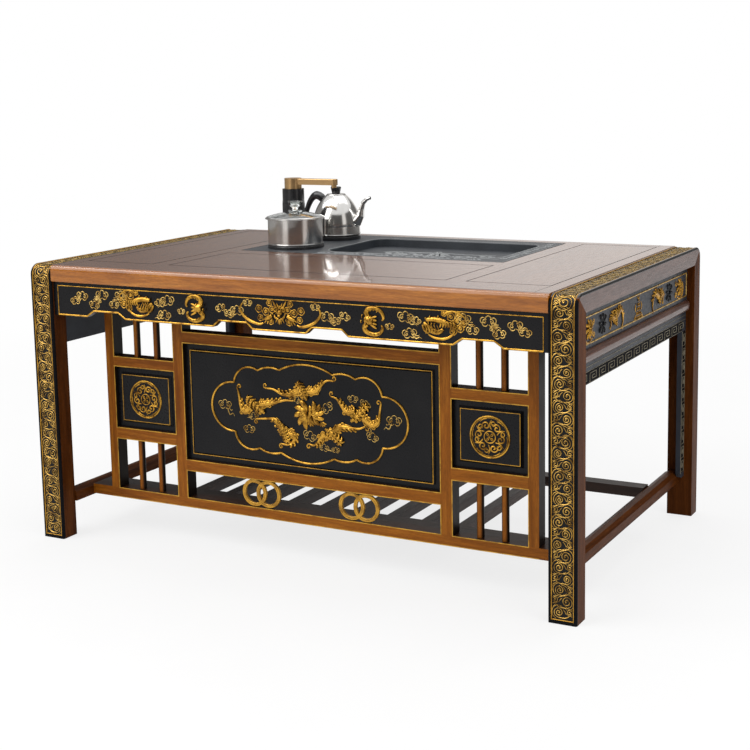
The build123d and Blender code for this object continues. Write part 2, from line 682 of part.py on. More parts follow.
def tea_tray():
    """Stone floor slab and four border slabs bonded on it round a sunk basin, with a drain and seats."""
    x0, x1 = TRAY_GAP - TRAY_HALF, TRAY_HALF - TRAY_GAP
    y0, y1 = TRAY_FRONT + TRAY_GAP, REAR_RAIL_IN - TRAY_GAP
    floor = block(x0, x1, y0, y1, TRAY_UNDER, BASIN_FLOOR)
    floor -= rod(DRAIN_X, DRAIN_Y, BASIN_FLOOR - STRAINER_T, BASIN_FLOOR + OVER, STRAINER_R + RUN_FIT)
    floor -= rod(DRAIN_X, DRAIN_Y, TRAY_UNDER - OVER, BASIN_FLOOR, DRAIN_NECK_R + FIT)
    border = block(x0, x1, y0, y1, BASIN_FLOOR, HEIGHT)
    mid_x, mid_y = (BASIN_X0 + BASIN_X1) / 2, (BASIN_Y0 + BASIN_Y1) / 2
    outline = RectangleRounded(BASIN_X1 - BASIN_X0, BASIN_Y1 - BASIN_Y0, BASIN_CORNER_R)
    border -= extrude(Pos(mid_x, mid_y, BASIN_FLOOR - OVER) * outline, BASIN_DEPTH + 2 * OVER)
    rim = [edge for edge in border.edges().group_by(Axis.Z)[-1]
           if BASIN_X0 - 1 < edge.center().X < BASIN_X1 + 1 and BASIN_Y0 - 1 < edge.center().Y < BASIN_Y1 + 1]
    border = fillet(rim, BASIN_RIM_R)
    slabs = [floor] + [border & sector for sector in border_sectors()]
    for x, y, radius in ((POT_X, POT_Y, BOSS_R), (KETTLE_X, KETTLE_Y, BOSS_R), (COLUMN_X, COLUMN_Y, COLUMN_STUB_R)):
        hole = rod(x, y, TRAY_UNDER - OVER, HEIGHT + OVER, radius + FIT)
        slabs = [slab - hole for slab in slabs]
    return slabs


def basin_strainer():
    """Pierced disc in the seat over the drain."""
    disc = rod(DRAIN_X, DRAIN_Y, BASIN_FLOOR - STRAINER_T, BASIN_FLOOR, STRAINER_R)
    ring_r = DRAIN_NECK_R - STRAINER_HOLE_R - STRAINER_HOLE_INSET
    for i in range(STRAINER_HOLES):
        turn = radians(360 * i / STRAINER_HOLES)
        x, y = DRAIN_X + ring_r * cos(turn), DRAIN_Y + ring_r * sin(turn)
        disc -= rod(x, y, BASIN_FLOOR - STRAINER_T - OVER, BASIN_FLOOR + OVER, STRAINER_HOLE_R)
    return disc


def drain_spout():
    """Flanged spout under the tray, for the drain hose."""
    neck_top = BASIN_FLOOR - STRAINER_T - DRAIN_NECK_FREE
    flange_under = TRAY_UNDER - DRAIN_FLANGE_T
    spout = rod(DRAIN_X, DRAIN_Y, TRAY_UNDER - OVER, neck_top, DRAIN_NECK_R)
    spout += rod(DRAIN_X, DRAIN_Y, flange_under, TRAY_UNDER, DRAIN_FLANGE_R)
    spout += rod(DRAIN_X, DRAIN_Y, flange_under - DRAIN_TAIL_Z, flange_under + OVER, DRAIN_TAIL_R)
    return spout - rod(DRAIN_X, DRAIN_Y, flange_under - DRAIN_TAIL_Z - OVER, neck_top + OVER, DRAIN_BORE_R)


# ---- aprons ------------------------------------------------------------------------------
def apron_front():
    """Apron with a scalloped lower edge, tenoned into the front legs."""
    centre_rise = APRON_CENTRE_DROP + APRON_CENTRE_RAMP
    centre_fall = centre_rise + APRON_CENTRE_RISE_W
    end_fall = END_IN - APRON_END_LOW
    end_rise = end_fall - APRON_END_RAMP - APRON_END_RISE_W
    right = [
        (APRON_CENTRE_DROP, APRON_LOW),
        (centre_rise, APRON_HIGH),
        (centre_fall, APRON_HIGH),
        (centre_fall + APRON_CENTRE_RAMP, APRON_LOW),
        (end_rise - APRON_END_RAMP, APRON_LOW),
        (end_rise, APRON_HIGH),
        (end_fall - APRON_END_RAMP, APRON_HIGH),
        (end_fall, APRON_LOW),
        (END_IN, APRON_LOW),
        (END_IN, TOP_RAIL_UNDER),
    ]
    outline = right + [(-x, z) for x, z in reversed(right)]
    board = plate(facing_front(APRON_BACK), Polygon(*outline, align=None), APRON_T)
    return board + block(*APRON_TENON) + flip_x(block(*APRON_TENON))


# ---- stretchers and footrest -------------------------------------------------------------
def stretcher_tenons(y0, y1):
    """Both end tenons of a long rail that runs between the end stretchers."""
    return (-STRETCHER_IN - TENON, STRETCHER_IN + TENON, y0 + TENON_SHOULDER, y1 - TENON_SHOULDER,
            FOOT_RAIL_FOOT + TENON_SHOULDER, FOOT_RAIL_TOP - 2 * TENON_SHOULDER)


LONG_RAILS = {
    "screen_bottom_rail": (SCREEN_FRONT, SCREEN_BACK),
    "footrest_board": (SCREEN_BACK, FOOTBOARD_BACK),
    "rear_stretcher": (REAR_STRETCHER_FRONT, REAR_STRETCHER_BACK),
}


def end_stretcher():
    """Right end stretcher with a ridged top, tenoned into both legs."""
    outline = [
        (STRETCHER_IN, STRETCHER_FOOT),
        (STRETCHER_OUT, STRETCHER_FOOT),
        (STRETCHER_OUT, STRETCHER_TOP - STRETCHER_OUT_BEVEL),
        (STRETCHER_OUT - STRETCHER_OUT_BEVEL, STRETCHER_TOP),
        (STRETCHER_IN + STRETCHER_IN_BEVEL_X, STRETCHER_TOP),
        (STRETCHER_IN, STRETCHER_TOP - STRETCHER_IN_BEVEL_Z),
    ]
    bar = plate(facing_front(END_OPEN), Polygon(*outline, align=None), 2 * END_OPEN)
    bar += block(*STRETCHER_TENON) + flip_y(block(*STRETCHER_TENON))
    for y0, y1 in LONG_RAILS.values():
        bar -= socket(stretcher_tenons(y0, y1))
    return bar


def foot_bars():
    """Places and sizes of the footrest bars, with their tenons."""
    first = -FOOT_BAR_PITCH * (FOOT_BARS - 1) / 2
    for i in range(FOOT_BARS):
        x = first + FOOT_BAR_PITCH * i
        bar = (x - FOOT_BAR_X / 2, x + FOOT_BAR_X / 2, FOOTBOARD_BACK, REAR_STRETCHER_FRONT,
               FOOT_RAIL_TOP - FOOT_BAR_Z, FOOT_RAIL_TOP)
        tenon = (bar[0] + TENON_SHOULDER, bar[1] - TENON_SHOULDER, bar[2] - STUB_TENON, bar[3] + STUB_TENON,
                 bar[4] + TENON_SHOULDER, bar[5] - TENON_SHOULDER)
        yield bar, tenon


def long_rail(name):
    """One of the three long rails between the end stretchers."""
    y0, y1 = LONG_RAILS[name]
    rail = block(-STRETCHER_IN, STRETCHER_IN, y0, y1, FOOT_RAIL_FOOT, FOOT_RAIL_TOP)
    rail += block(*stretcher_tenons(y0, y1))
    if name == "screen_bottom_rail":
        for tenon in stile_tenons():
            rail -= socket(tenon) + flip_x(socket(tenon))
        for x in spindle_places():
            rail -= rod(x, SCREEN_MID, FOOT_RAIL_TOP - SPINDLE_PIN - FIT, FOOT_RAIL_TOP + OVER, SPINDLE_PIN_R + FIT)
    else:
        for _, tenon in foot_bars():
            rail -= socket(tenon)
    return rail


# ---- front screen ------------------------------------------------------------------------
def stile_tenons():
    """Top and bottom tenons of the outer and inner right-hand stiles, each as one long block."""
    return [(x0 + TENON_SHOULDER, x1 - TENON_SHOULDER, SCREEN_TENON_Y0, SCREEN_TENON_Y1,
             FOOT_RAIL_TOP - STUB_TENON, HEAD_RAIL_UNDER + STUB_TENON)
            for x0, x1 in ((OUTER_STILE_IN, OUTER_STILE_OUT), (INNER_STILE_IN, INNER_STILE_OUT))]


def spindle_places():
    """X of every spindle, left and right."""
    right = evenly(SPINDLES_PER_BAY, INNER_STILE_OUT, OUTER_STILE_IN)
    return [-x for x in reversed(right)] + right


def rail_tenons(x0, x1, z0, z1, panel_above):
    """Both end tenons of a screen rail, kept clear of the groove of the panel beside it."""
    low, high = (TENON_SHOULDER, PANEL_SHOULDER) if panel_above else (PANEL_SHOULDER, TENON_SHOULDER)
    return (x0 - STUB_TENON, x1 + STUB_TENON, SCREEN_TENON_Y0, SCREEN_TENON_Y1, z0 + low, z1 - high)


CENTRE_RAILS = (
    (-INNER_STILE_IN, INNER_STILE_IN, PANEL_Z0 - PANEL_BOTTOM_RAIL_Z, PANEL_Z0, True),
    (-INNER_STILE_IN, INNER_STILE_IN, PANEL_Z1, PANEL_Z1 + PANEL_TOP_RAIL_Z, False),
)
BAY_RAILS = (
    (INNER_STILE_OUT, OUTER_STILE_IN, BAY_LOWER_TOP, BAY_Z0, True),
    (INNER_STILE_OUT, OUTER_STILE_IN, BAY_Z1, BAY_UPPER_TOP, False),
)
CENTRE_OPENING = (-INNER_STILE_IN, INNER_STILE_IN, PANEL_Z0, PANEL_Z1)
BAY_OPENING = (INNER_STILE_OUT, OUTER_STILE_IN, BAY_Z0, BAY_Z1)


def plate_groove(opening):
    """Groove round an opening of the screen for its panel."""
    x0, x1, z0, z1 = opening
    deep = TONGUE + GROOVE_SLACK
    return block(x0 - deep, x1 + deep, PLATE_FRONT - FIT, PLATE_BACK + FIT, z0 - deep, z1 + deep)


def screen_panel(opening, inset_x, inset_z):
    """Panel of the screen with a raised, bevelled field."""
    x0, x1, z0, z1 = opening
    plate = block(x0 - TONGUE, x1 + TONGUE, PLATE_FRONT, PLATE_BACK, z0 - TONGUE, z1 + TONGUE)
    field = block(x0 + inset_x, x1 - inset_x, FIELD_FACE, PLATE_FRONT, z0 + inset_z, z1 - inset_z)
    field = chamfer(field.faces().sort_by(Axis.Y)[0].edges(), FIELD_BEVEL)
    return plate + field


def stile(x0, x1):
    """Upright of the screen between the bottom rail and the head rail."""
    post = block(x0, x1, SCREEN_FRONT, SCREEN_BACK, FOOT_RAIL_TOP, HEAD_RAIL_UNDER)
    for tenon in stile_tenons():
        if x0 < tenon[0] < x1:
            post += block(*tenon)
    for opening in (CENTRE_OPENING, BAY_OPENING):
        post -= plate_groove(opening)
    for rail in CENTRE_RAILS + BAY_RAILS:
        post -= socket(rail_tenons(*rail))
    return post


def screen_rail(rail, opening):
    """Cross rail of the screen, grooved for the panel beside it."""
    x0, x1, z0, z1, _ = rail
    bar = block(x0, x1, SCREEN_FRONT, SCREEN_BACK, z0, z1) + block(*rail_tenons(*rail))
    return bar - plate_groove(opening)


def bay_rails():
    """Lower and upper rail of the right-hand bay, bored for the spindles' pins."""
    lower, upper = (screen_rail(rail, BAY_OPENING) for rail in BAY_RAILS)
    for x in spindle_places():
        lower -= rod(x, SCREEN_MID, BAY_LOWER_TOP - OVER, BAY_LOWER_TOP + SPINDLE_PIN + FIT, SPINDLE_PIN_R + FIT)
        upper -= rod(x, SCREEN_MID, BAY_UPPER_TOP - SPINDLE_PIN - FIT, BAY_UPPER_TOP + OVER, SPINDLE_PIN_R + FIT)
    return [lower, upper]


def head_rail():
    """Rail under the top that holds the stiles and the upper spindles."""
    rail = block(-END_IN, END_IN, SCREEN_FRONT, SCREEN_BACK, HEAD_RAIL_UNDER, MEMBER_UNDER)
    rail += block(-END_BACK, END_BACK, SCREEN_FRONT, SCREEN_BACK, HEAD_RAIL_UNDER, RAIL_UNDER)
    for tenon in stile_tenons():
        rail -= socket(tenon) + flip_x(socket(tenon))
    for x in spindle_places():
        rail -= rod(x, SCREEN_MID, HEAD_RAIL_UNDER - OVER, HEAD_RAIL_UNDER + SPINDLE_PIN + FIT, SPINDLE_PIN_R + FIT)
    return rail


def spindle(x, z0, z1):
    """Turned spindle with a pin at each end."""
    return (rod(x, SCREEN_MID, z0, z1, SPINDLE_R)
            + rod(x, SCREEN_MID, z0 - SPINDLE_PIN, z1 + SPINDLE_PIN, SPINDLE_PIN_R))


def spindles():
    """All spindles, in the lower and upper openings of both bays."""
    spans = ((FOOT_RAIL_TOP, BAY_LOWER_TOP), (BAY_UPPER_TOP, HEAD_RAIL_UNDER))
    return [spindle(x, z0, z1) for x in spindle_places() for z0, z1 in spans]


def ring_pair(x):
    """Two linked rings between the bottom rail and the panel's bottom rail."""
    z0, z1 = FOOT_RAIL_TOP, FOOT_RAIL_TOP + RING_GAP
    face = facing_front(SCREEN_FRONT + RING_SETBACK + RING_T)
    pair = None
    for side in (-1, 1):
        ring = Circle(RING_R) - Circle(RING_R - RING_BAND)
        flat = plate(face, Pos(x + side * RING_CENTRES / 2, (z0 + z1) / 2) * ring, RING_T)
        pair = flat if pair is None else pair + flat
    half = RING_CENTRES + RING_R
    return pair & block(x - half, x + half, SCREEN_FRONT, SCREEN_BACK, z0, z1)


def medallion():
    """Round carved medallion in the middle of the right bay panel."""
    x = (INNER_STILE_OUT + OUTER_STILE_IN) / 2
    z = (BAY_Z0 + BAY_Z1) / 2
    return plate(facing_front(FIELD_FACE), Pos(x, z) * Circle(MEDALLION_R), MEDALLION_T)


# ---- carving -----------------------------------------------------------------------------
BAT = (
    (-0.50, 0.16), (-0.40, 0.06), (-0.28, 0.14), (-0.12, 0.10), (-0.05, 0.20), (0.00, 0.14), (0.05, 0.20),
    (0.12, 0.10), (0.28, 0.14), (0.40, 0.06), (0.50, 0.16), (0.42, -0.06), (0.30, -0.02), (0.22, -0.12),
    (0.12, -0.06), (0.00, -0.22), (-0.12, -0.06), (-0.22, -0.12), (-0.30, -0.02), (-0.42, -0.06),
)


def bat(span):
    """Outline of a bat with spread wings, span wide."""
    return Polygon(*[(x * span, y * span) for x, y in BAT], align=None)


def cloud(width):
    """Outline of a three-lobed cloud, width across."""
    lobe = width / 4
    return Circle(lobe * 1.15) + Pos(-lobe, -lobe / 3) * Circle(lobe) + Pos(lobe, -lobe / 3) * Circle(lobe)


def flower(radius):
    """Outline of a six-petalled flower."""
    shape = Circle(radius * 0.6)
    for i in range(6):
        turn = radians(60 * i)
        shape += Pos(radius * 0.6 * cos(turn), radius * 0.6 * sin(turn)) * Circle(radius * 0.4)
    return shape


MOTIFS = {"bat": bat, "cloud": cloud, "flower": flower}


def both_ways(side_motifs):
    """Motifs of one side with their mirror images on the other."""
    return [(shape, size, side * across, up, side * turn)
            for shape, size, across, up, turn in side_motifs for side in (-1, 1)]


def relief(plane, motifs, half, middle_z, thick):
    """Raise motifs by thick above a plane, round height middle_z, in a field of that half length."""
    return [plate(plane, Pos(across * half, middle_z + up * half) * Rot(0, 0, turn) * MOTIFS[shape](size * half), thick)
            for shape, size, across, up, turn in motifs]


def cartouche():
    """Scalloped bead round the carving of the centre panel."""
    z = (PANEL_Z0 + PANEL_Z1) / 2
    end = ThreePointArc((CUSP_END[0], -CUSP_END[1]), (CARTOUCHE_RIGHT, 0), CUSP_END)
    top = ThreePointArc(CUSP_TOP, (0, CARTOUCHE_TOP), (-CUSP_TOP[0], CUSP_TOP[1]))
    lobes = [end, flip_x(end), top, flip_y(top)]
    for lobe in (ThreePointArc(CUSP_END, LOBE_CORNER, CUSP_CORNER), ThreePointArc(CUSP_CORNER, LOBE_SMALL, CUSP_TOP)):
        lobes += [lobe, flip_x(lobe), flip_y(lobe), flip_x(flip_y(lobe))]
    outer = make_face(lobes)
    inner = offset(outer, -CARTOUCHE_BEAD, kind=Kind.INTERSECTION)
    return plate(facing_front(FIELD_FACE), Pos(0, z) * (outer - inner), CARTOUCHE_T)


def screen_carving():
    """Bats and clouds round a flower inside the cartouche."""
    z = (PANEL_Z0 + PANEL_Z1) / 2
    return relief(facing_front(FIELD_FACE), SCREEN_MOTIFS, CARTOUCHE_RIGHT, z, SCREEN_RELIEF_T)


def apron_carving():
    """Clouds, bats and the middle flower of the front apron."""
    z = (APRON_HIGH + TOP_RAIL_UNDER - APRON_SETBACK) / 2
    motifs = [APRON_MIDDLE_MOTIF] + both_ways(APRON_SIDE_MOTIFS)
    return relief(facing_front(APRON_FRONT), motifs, END_IN, z, APRON_RELIEF_T)


def end_carving():
    """Bats and flowers of the right end board."""
    z = RAIL_UNDER - END_GOLD_DROP - END_GOLD_Z / 2
    motifs = [END_MIDDLE_MOTIF] + both_ways(END_SIDE_MOTIFS)
    return relief(facing_right(END_FACE), motifs, END_OPEN, z, END_RELIEF_T)


# ---- tea-making set ----------------------------------------------------------------------
def hob_case():
    """Case of the heaters and the pump, under the tray's platform."""
    return block(HOB_CASE_EDGE - TRAY_HALF, BASIN_X0 - HOB_CASE_BASIN_GAP, TRAY_FRONT + HOB_CASE_FRONT_GAP,
                 REAR_RAIL_IN - HOB_CASE_REAR_GAP, TRAY_UNDER - HOB_CASE_Z, TRAY_UNDER)


def heater(x, y, radius, thick):
    """Round heater plate on the tray with a boss down to the hob case."""
    plate = rod(x, y, HEIGHT, HEIGHT + thick, radius)
    plate = fillet(plate.edges().group_by(Axis.Z)[-1], HEATER_EDGE)
    return plate + rod(x, y, TRAY_UNDER, HEIGHT + OVER, BOSS_R)


def water_column():
    """Column with a bore for the faucet's pin and a water channel."""
    column = rod(COLUMN_X, COLUMN_Y, HEIGHT, COLUMN_TOP, COLUMN_R)
    column += rod(COLUMN_X, COLUMN_Y, TRAY_UNDER, HEIGHT + OVER, COLUMN_STUB_R)
    bore_foot = COLUMN_TOP - FAUCET_PIN_Z - FAUCET_BORE_FREE
    column -= rod(COLUMN_X, COLUMN_Y, bore_foot, COLUMN_TOP + OVER, FAUCET_PIN_R + FIT)
    return column - rod(COLUMN_X, COLUMN_Y, TRAY_UNDER - OVER, bore_foot + OVER, WATER_BORE_R)


def faucet():
    """Swinging faucet: cap, pin, arm and nozzle."""
    cap_top = COLUMN_TOP + FAUCET_CAP_Z
    arm_top = cap_top - FAUCET_ARM_DROP
    arm_under = arm_top - FAUCET_ARM_Z
    tip = COLUMN_X + FAUCET_REACH
    arm = block(COLUMN_X, tip, COLUMN_Y - FAUCET_ARM_Y / 2, COLUMN_Y + FAUCET_ARM_Y / 2, arm_under, arm_top)
    arm = fillet(arm.faces().sort_by(Axis.X)[-1].edges().filter_by(Axis.Z), FAUCET_END_R)
    arm = fillet(arm.faces().sort_by(Axis.Z)[-1].edges().sort_by(Axis.X)[1:], FAUCET_EDGE_R)
    whole = rod(COLUMN_X, COLUMN_Y, COLUMN_TOP + RUN_FIT, cap_top, FAUCET_CAP_R)
    whole += rod(COLUMN_X, COLUMN_Y, COLUMN_TOP - FAUCET_PIN_Z, COLUMN_TOP + OVER, FAUCET_PIN_R)
    return whole + arm + rod(tip - NOZZLE_BACK, COLUMN_Y, arm_under - NOZZLE_Z, arm_under + OVER, NOZZLE_R)


def kettle_half(wall):
    """Half section of the kettle's body in X and Z, moved in by wall."""
    foot = KETTLE_R - KETTLE_FOOT_R
    side = (KETTLE_WAIST_R - wall, KETTLE_SIDE_Z)
    shoulder = (KETTLE_TOP_R - wall, KETTLE_Z - wall)
    outline = [
        Line((0, wall), (foot, wall)),
        Line((foot, wall), (KETTLE_R - wall, KETTLE_FOOT_R + wall)),
        Line((KETTLE_R - wall, KETTLE_FOOT_R + wall), side),
        ThreePointArc(side, (KETTLE_DOME[0] - wall, KETTLE_DOME[1] - wall), shoulder),
        Line(shoulder, (0, KETTLE_Z - wall)),
        Line((0, KETTLE_Z - wall), (0, wall)),
    ]
    return make_face(outline)


def kettle_solid(wall):
    """Kettle's body as a full solid, moved in by wall."""
    return revolve(facing_front(0) * kettle_half(wall), Axis.Z)


def spout_solid(wall):
    """Goose-neck through the stations, moved in by wall."""
    sections = []
    for x, z, radius, climb in SPOUT:
        along = (cos(radians(climb)), 0, sin(radians(climb)))
        sections.append(Plane(origin=(x, 0, z), x_dir=(0, 1, 0), z_dir=along) * Circle(radius - wall))
    return loft(sections, ruled=True)


def kettle_body():
    """Kettle with its goose-neck spout, open at the mouth and the tip."""
    body = kettle_solid(0) + spout_solid(0)
    body -= kettle_solid(KETTLE_WALL)
    body -= spout_solid(SPOUT_WALL)
    tip_x, tip_z, tip_r, climb = SPOUT[-1]
    along = (cos(radians(climb)), 0, sin(radians(climb)))
    opening = Plane(origin=(tip_x, 0, tip_z), x_dir=(0, 1, 0), z_dir=along) * Circle(tip_r - SPOUT_WALL)
    body -= extrude(opening, 2 * OVER, both=True)
    body -= rod(0, 0, KETTLE_Z - 2 * KETTLE_WALL, KETTLE_Z + OVER, KETTLE_MOUTH_R)
    return Pos(KETTLE_X, KETTLE_Y, KETTLE_BASE) * body


def kettle_handle():
    """Ear-shaped handle on the kettle's left side."""
    path = FilletPolyline(*[(x, 0, z) for x, z in HANDLE_PATH], radius=HANDLE_BEND_R)
    start = Plane(origin=path @ 0, x_dir=(0, 1, 0), z_dir=path % 0)
    grip = sweep(start * Ellipse(HANDLE_Y, HANDLE_T), path=path) - kettle_solid(0)
    return Pos(KETTLE_X, KETTLE_Y, KETTLE_BASE) * grip


def kettle_lid():
    """Lid with a plug that centres it in the mouth."""
    lid = rod(0, 0, KETTLE_Z, KETTLE_Z + KETTLE_LID_T, KETTLE_LID_R)
    lid = fillet(lid.edges().group_by(Axis.Z)[-1], KETTLE_LID_T / 2)
    lid += rod(0, 0, KETTLE_Z - KETTLE_PLUG_Z, KETTLE_Z + OVER, KETTLE_PLUG_R)
    return Pos(KETTLE_X, KETTLE_Y, KETTLE_BASE) * lid


def kettle_knob():
    """Knob that widens to its top."""
    z = KETTLE_Z + KETTLE_LID_T
    knob = Pos(0, 0, z + KETTLE_KNOB_Z / 2) * Cone(KETTLE_KNOB_LOW_R, KETTLE_KNOB_TOP_R, KETTLE_KNOB_Z)
    return Pos(KETTLE_X, KETTLE_Y, KETTLE_BASE) * fillet(knob.edges().group_by(Axis.Z)[-1], KETTLE_KNOB_EDGE)


def pot_body():
    """Straight-sided pot with a flat turned-out rim."""
    pot = rod(0, 0, 0, POT_Z, POT_R)
    pot = fillet(pot.edges().group_by(Axis.Z)[0], POT_FOOT_R)
    pot += rod(0, 0, POT_Z - POT_RIM_T, POT_Z, POT_RIM_R)
    pot -= rod(0, 0, POT_WALL, POT_Z + OVER, POT_R - POT_WALL)
    return Pos(POT_X, POT_Y, POT_BASE) * pot


def cap_radius(half_width, rise):
    """Radius of the sphere whose cap is half_width across from its axis and rise high."""
    return (half_width ** 2 + rise ** 2) / (2 * rise)


def pot_lid():
    """Glass lid: a shallow dome with a flat foot on the pot's rim."""
    hollow_rise = POT_LID_RISE - POT_LID_T
    outer_r = cap_radius(POT_LID_R, hollow_rise)
    inner_r = cap_radius(POT_LID_R - POT_LID_T, hollow_rise)
    dome = rod(0, 0, 0, POT_LID_RISE, POT_LID_R) & Pos(0, 0, POT_LID_RISE - outer_r) * Sphere(outer_r)
    dome -= Pos(0, 0, hollow_rise - inner_r) * Sphere(inner_r)
    return Pos(POT_X, POT_Y, POT_BASE + POT_Z) * dome


def pot_knob():
    """Faceted clear knob on a collar."""
    z = POT_LID_RISE
    neck_top = z + POT_COLLAR_Z + POT_NECK_Z
    knob = rod(0, 0, z, z + POT_COLLAR_Z, POT_COLLAR_R)
    knob += rod(0, 0, z, neck_top + OVER, POT_NECK_R)
    half = POT_KNOB_Z / 2
    knob += Pos(0, 0, neck_top + half / 2) * Cone(POT_NECK_R, POT_KNOB_R, half)
    knob += Pos(0, 0, neck_top + half * 1.5) * Cone(POT_KNOB_R, POT_KNOB_TOP_R, half)
    return Pos(POT_X, POT_Y, POT_BASE + POT_Z) * knob


# ---- all nodes ---------------------------------------------------------------------------
def build_nodes():
    """Every named piece with its solids."""
    leg = front_leg()
    rail = end_rail()
    band = cloud_band()
    board = end_board()
    fret = end_fret()
    bar = end_stretcher()
    apron = apron_front()
    nodes = {
        "leg_front_left": flip_x(leg),
        "leg_front_right": leg,
        "leg_rear_left": flip_x(flip_y(leg)),
        "leg_rear_right": flip_y(leg),
        "end_rail_left": flip_x(rail),
        "end_rail_right": rail,
        "cloud_band_left": flip_x(band),
        "cloud_band_right": band,
        "end_board_left": flip_x(board),
        "end_board_right": board,
        "end_mouldings": both_sides(end_moulding()),
        "end_fret_left": flip_x(fret),
        "end_fret_right": fret,
        "end_stretcher_left": flip_x(bar),
        "end_stretcher_right": bar,
        "top_front_rail": front_rail(),
        "top_rear_rail": rear_rail(),
        "top_end_stiles": both_sides(end_stile()),
        "top_dividers": both_sides(divider()),
        "tray_rail": tray_rail(),
        "top_battens": [block(*b) for b in front_battens()]
        + [piece for b in side_battens() for piece in both_sides(block(*b))],
        "tray_ledgers": tray_ledgers(),
        "tea_tray": tea_tray(),
        "basin_strainer": basin_strainer(),
        "drain_spout": drain_spout(),
        "apron_front": apron,
        "apron_rear": flip_y(apron),
        "screen_head_rail": head_rail(),
        "outer_stiles": both_sides(stile(OUTER_STILE_IN, OUTER_STILE_OUT)),
        "inner_stiles": both_sides(stile(INNER_STILE_IN, INNER_STILE_OUT)),
        "panel_rails": [screen_rail(r, CENTRE_OPENING) for r in CENTRE_RAILS],
        "bay_rails": [piece for r in bay_rails() for piece in both_sides(r)],
        "centre_panel": screen_panel(CENTRE_OPENING, CENTRE_FIELD_INSET_X, CENTRE_FIELD_INSET_Z),
        "bay_panels": both_sides(screen_panel(BAY_OPENING, BAY_FIELD_INSET, BAY_FIELD_INSET)),
        "medallions": both_sides(medallion()),
        "spindles": spindles(),
        "ring_pairs": [ring_pair(-RING_PAIR_X), ring_pair(RING_PAIR_X)],
        "footrest_bars": [block(*b) + block(*t) for b, t in foot_bars()],
        "cartouche": cartouche(),
        "screen_carving": screen_carving(),
        "apron_carving": apron_carving(),
        "end_carving": [twin for piece in end_carving() for twin in both_sides(piece)],
        "hob_case": hob_case(),
        "pot_heater": heater(POT_X, POT_Y, POT_HEATER_R, POT_HEATER_T),
        "kettle_heater": heater(KETTLE_X, KETTLE_Y, KETTLE_HEATER_R, KETTLE_HEATER_T),
        "water_column": water_column(),
        "faucet": faucet(),
        "kettle_body": kettle_body(),
        "kettle_handle": kettle_handle(),
        "kettle_lid": kettle_lid(),
        "kettle_knob": kettle_knob(),
        "pot_body": pot_body(),
        "pot_lid": pot_lid(),
        "pot_knob": pot_knob(),
    }
    for name, opening in TOP_OPENINGS.items():
        nodes[name] = top_panel(opening)
    for name in LONG_RAILS:
        nodes[name] = long_rail(name)
    return nodes


os.makedirs("parts", exist_ok=True)
for node, shapes in build_nodes().items():
    pieces = shapes if isinstance(shapes, list) else [shapes]
    solids = [solid for piece in pieces for solid in piece.solids()]
    export_step(solids[0] if len(solids) == 1 else Compound(solids), f"parts/{node}.step")
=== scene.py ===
"""Looks of the gongfu tea table: finishes, carving and trim built round its solid frame."""
import logging
import math
from collections.abc import Iterable, Sequence
from dataclasses import dataclass
from enum import Enum

import bpy
from mathutils import Matrix, Vector


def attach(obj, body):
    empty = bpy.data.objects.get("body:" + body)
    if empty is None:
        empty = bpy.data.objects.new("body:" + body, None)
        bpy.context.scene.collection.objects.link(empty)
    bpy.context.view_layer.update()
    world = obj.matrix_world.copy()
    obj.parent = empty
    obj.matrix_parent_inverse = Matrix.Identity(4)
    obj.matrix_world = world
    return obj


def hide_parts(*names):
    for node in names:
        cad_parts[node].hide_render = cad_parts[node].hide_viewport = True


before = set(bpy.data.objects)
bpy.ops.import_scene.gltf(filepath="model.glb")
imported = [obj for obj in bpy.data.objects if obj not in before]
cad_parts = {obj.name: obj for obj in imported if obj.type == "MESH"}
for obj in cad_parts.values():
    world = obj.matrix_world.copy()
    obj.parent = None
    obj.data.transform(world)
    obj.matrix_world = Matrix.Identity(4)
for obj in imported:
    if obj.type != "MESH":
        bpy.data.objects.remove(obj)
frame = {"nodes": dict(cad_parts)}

log = logging.getLogger("tea_table")
MM = 0.001
SIDES = (-1, 1)
WHITE = (1.0, 1.0, 1.0, 1.0)
Colour = tuple[float, float, float]
Point = tuple[float, float]
Socket = bpy.types.NodeSocket
Thing = bpy.types.Object


class Grain(Enum):
    """The axis that wood grain runs along."""

    X = (1.0, 13.0, 13.0)
    Y = (13.0, 1.0, 13.0)
    Z = (13.0, 13.0, 1.0)


class Face(Enum):
    """A side of the table that carving is laid on: across, up and outward, as seen from that side."""

    FRONT = ((1, 0, 0), (0, 0, 1), (0, -1, 0))
    REAR = ((-1, 0, 0), (0, 0, 1), (0, 1, 0))
    RIGHT = ((0, 1, 0), (0, 0, 1), (1, 0, 0))
    LEFT = ((0, -1, 0), (0, 0, 1), (-1, 0, 0))
    TOP = ((1, 0, 0), (0, 1, 0), (0, 0, 1))

    def place(self, origin: Sequence[float]) -> Matrix:
        """Gives the move from the face's own plane, in millimetres, to the table's frame.

        Args:
            origin: the plane's origin in the table's frame, in millimetres.

        Returns:
            A matrix that takes (across, up, out) in millimetres to metres.
        """
        across, up, out = (Vector(axis) for axis in self.value)
        turn = Matrix((across, up, out)).transposed().to_4x4()
        return Matrix.Scale(MM, 4) @ Matrix.Translation(Vector(origin)) @ turn


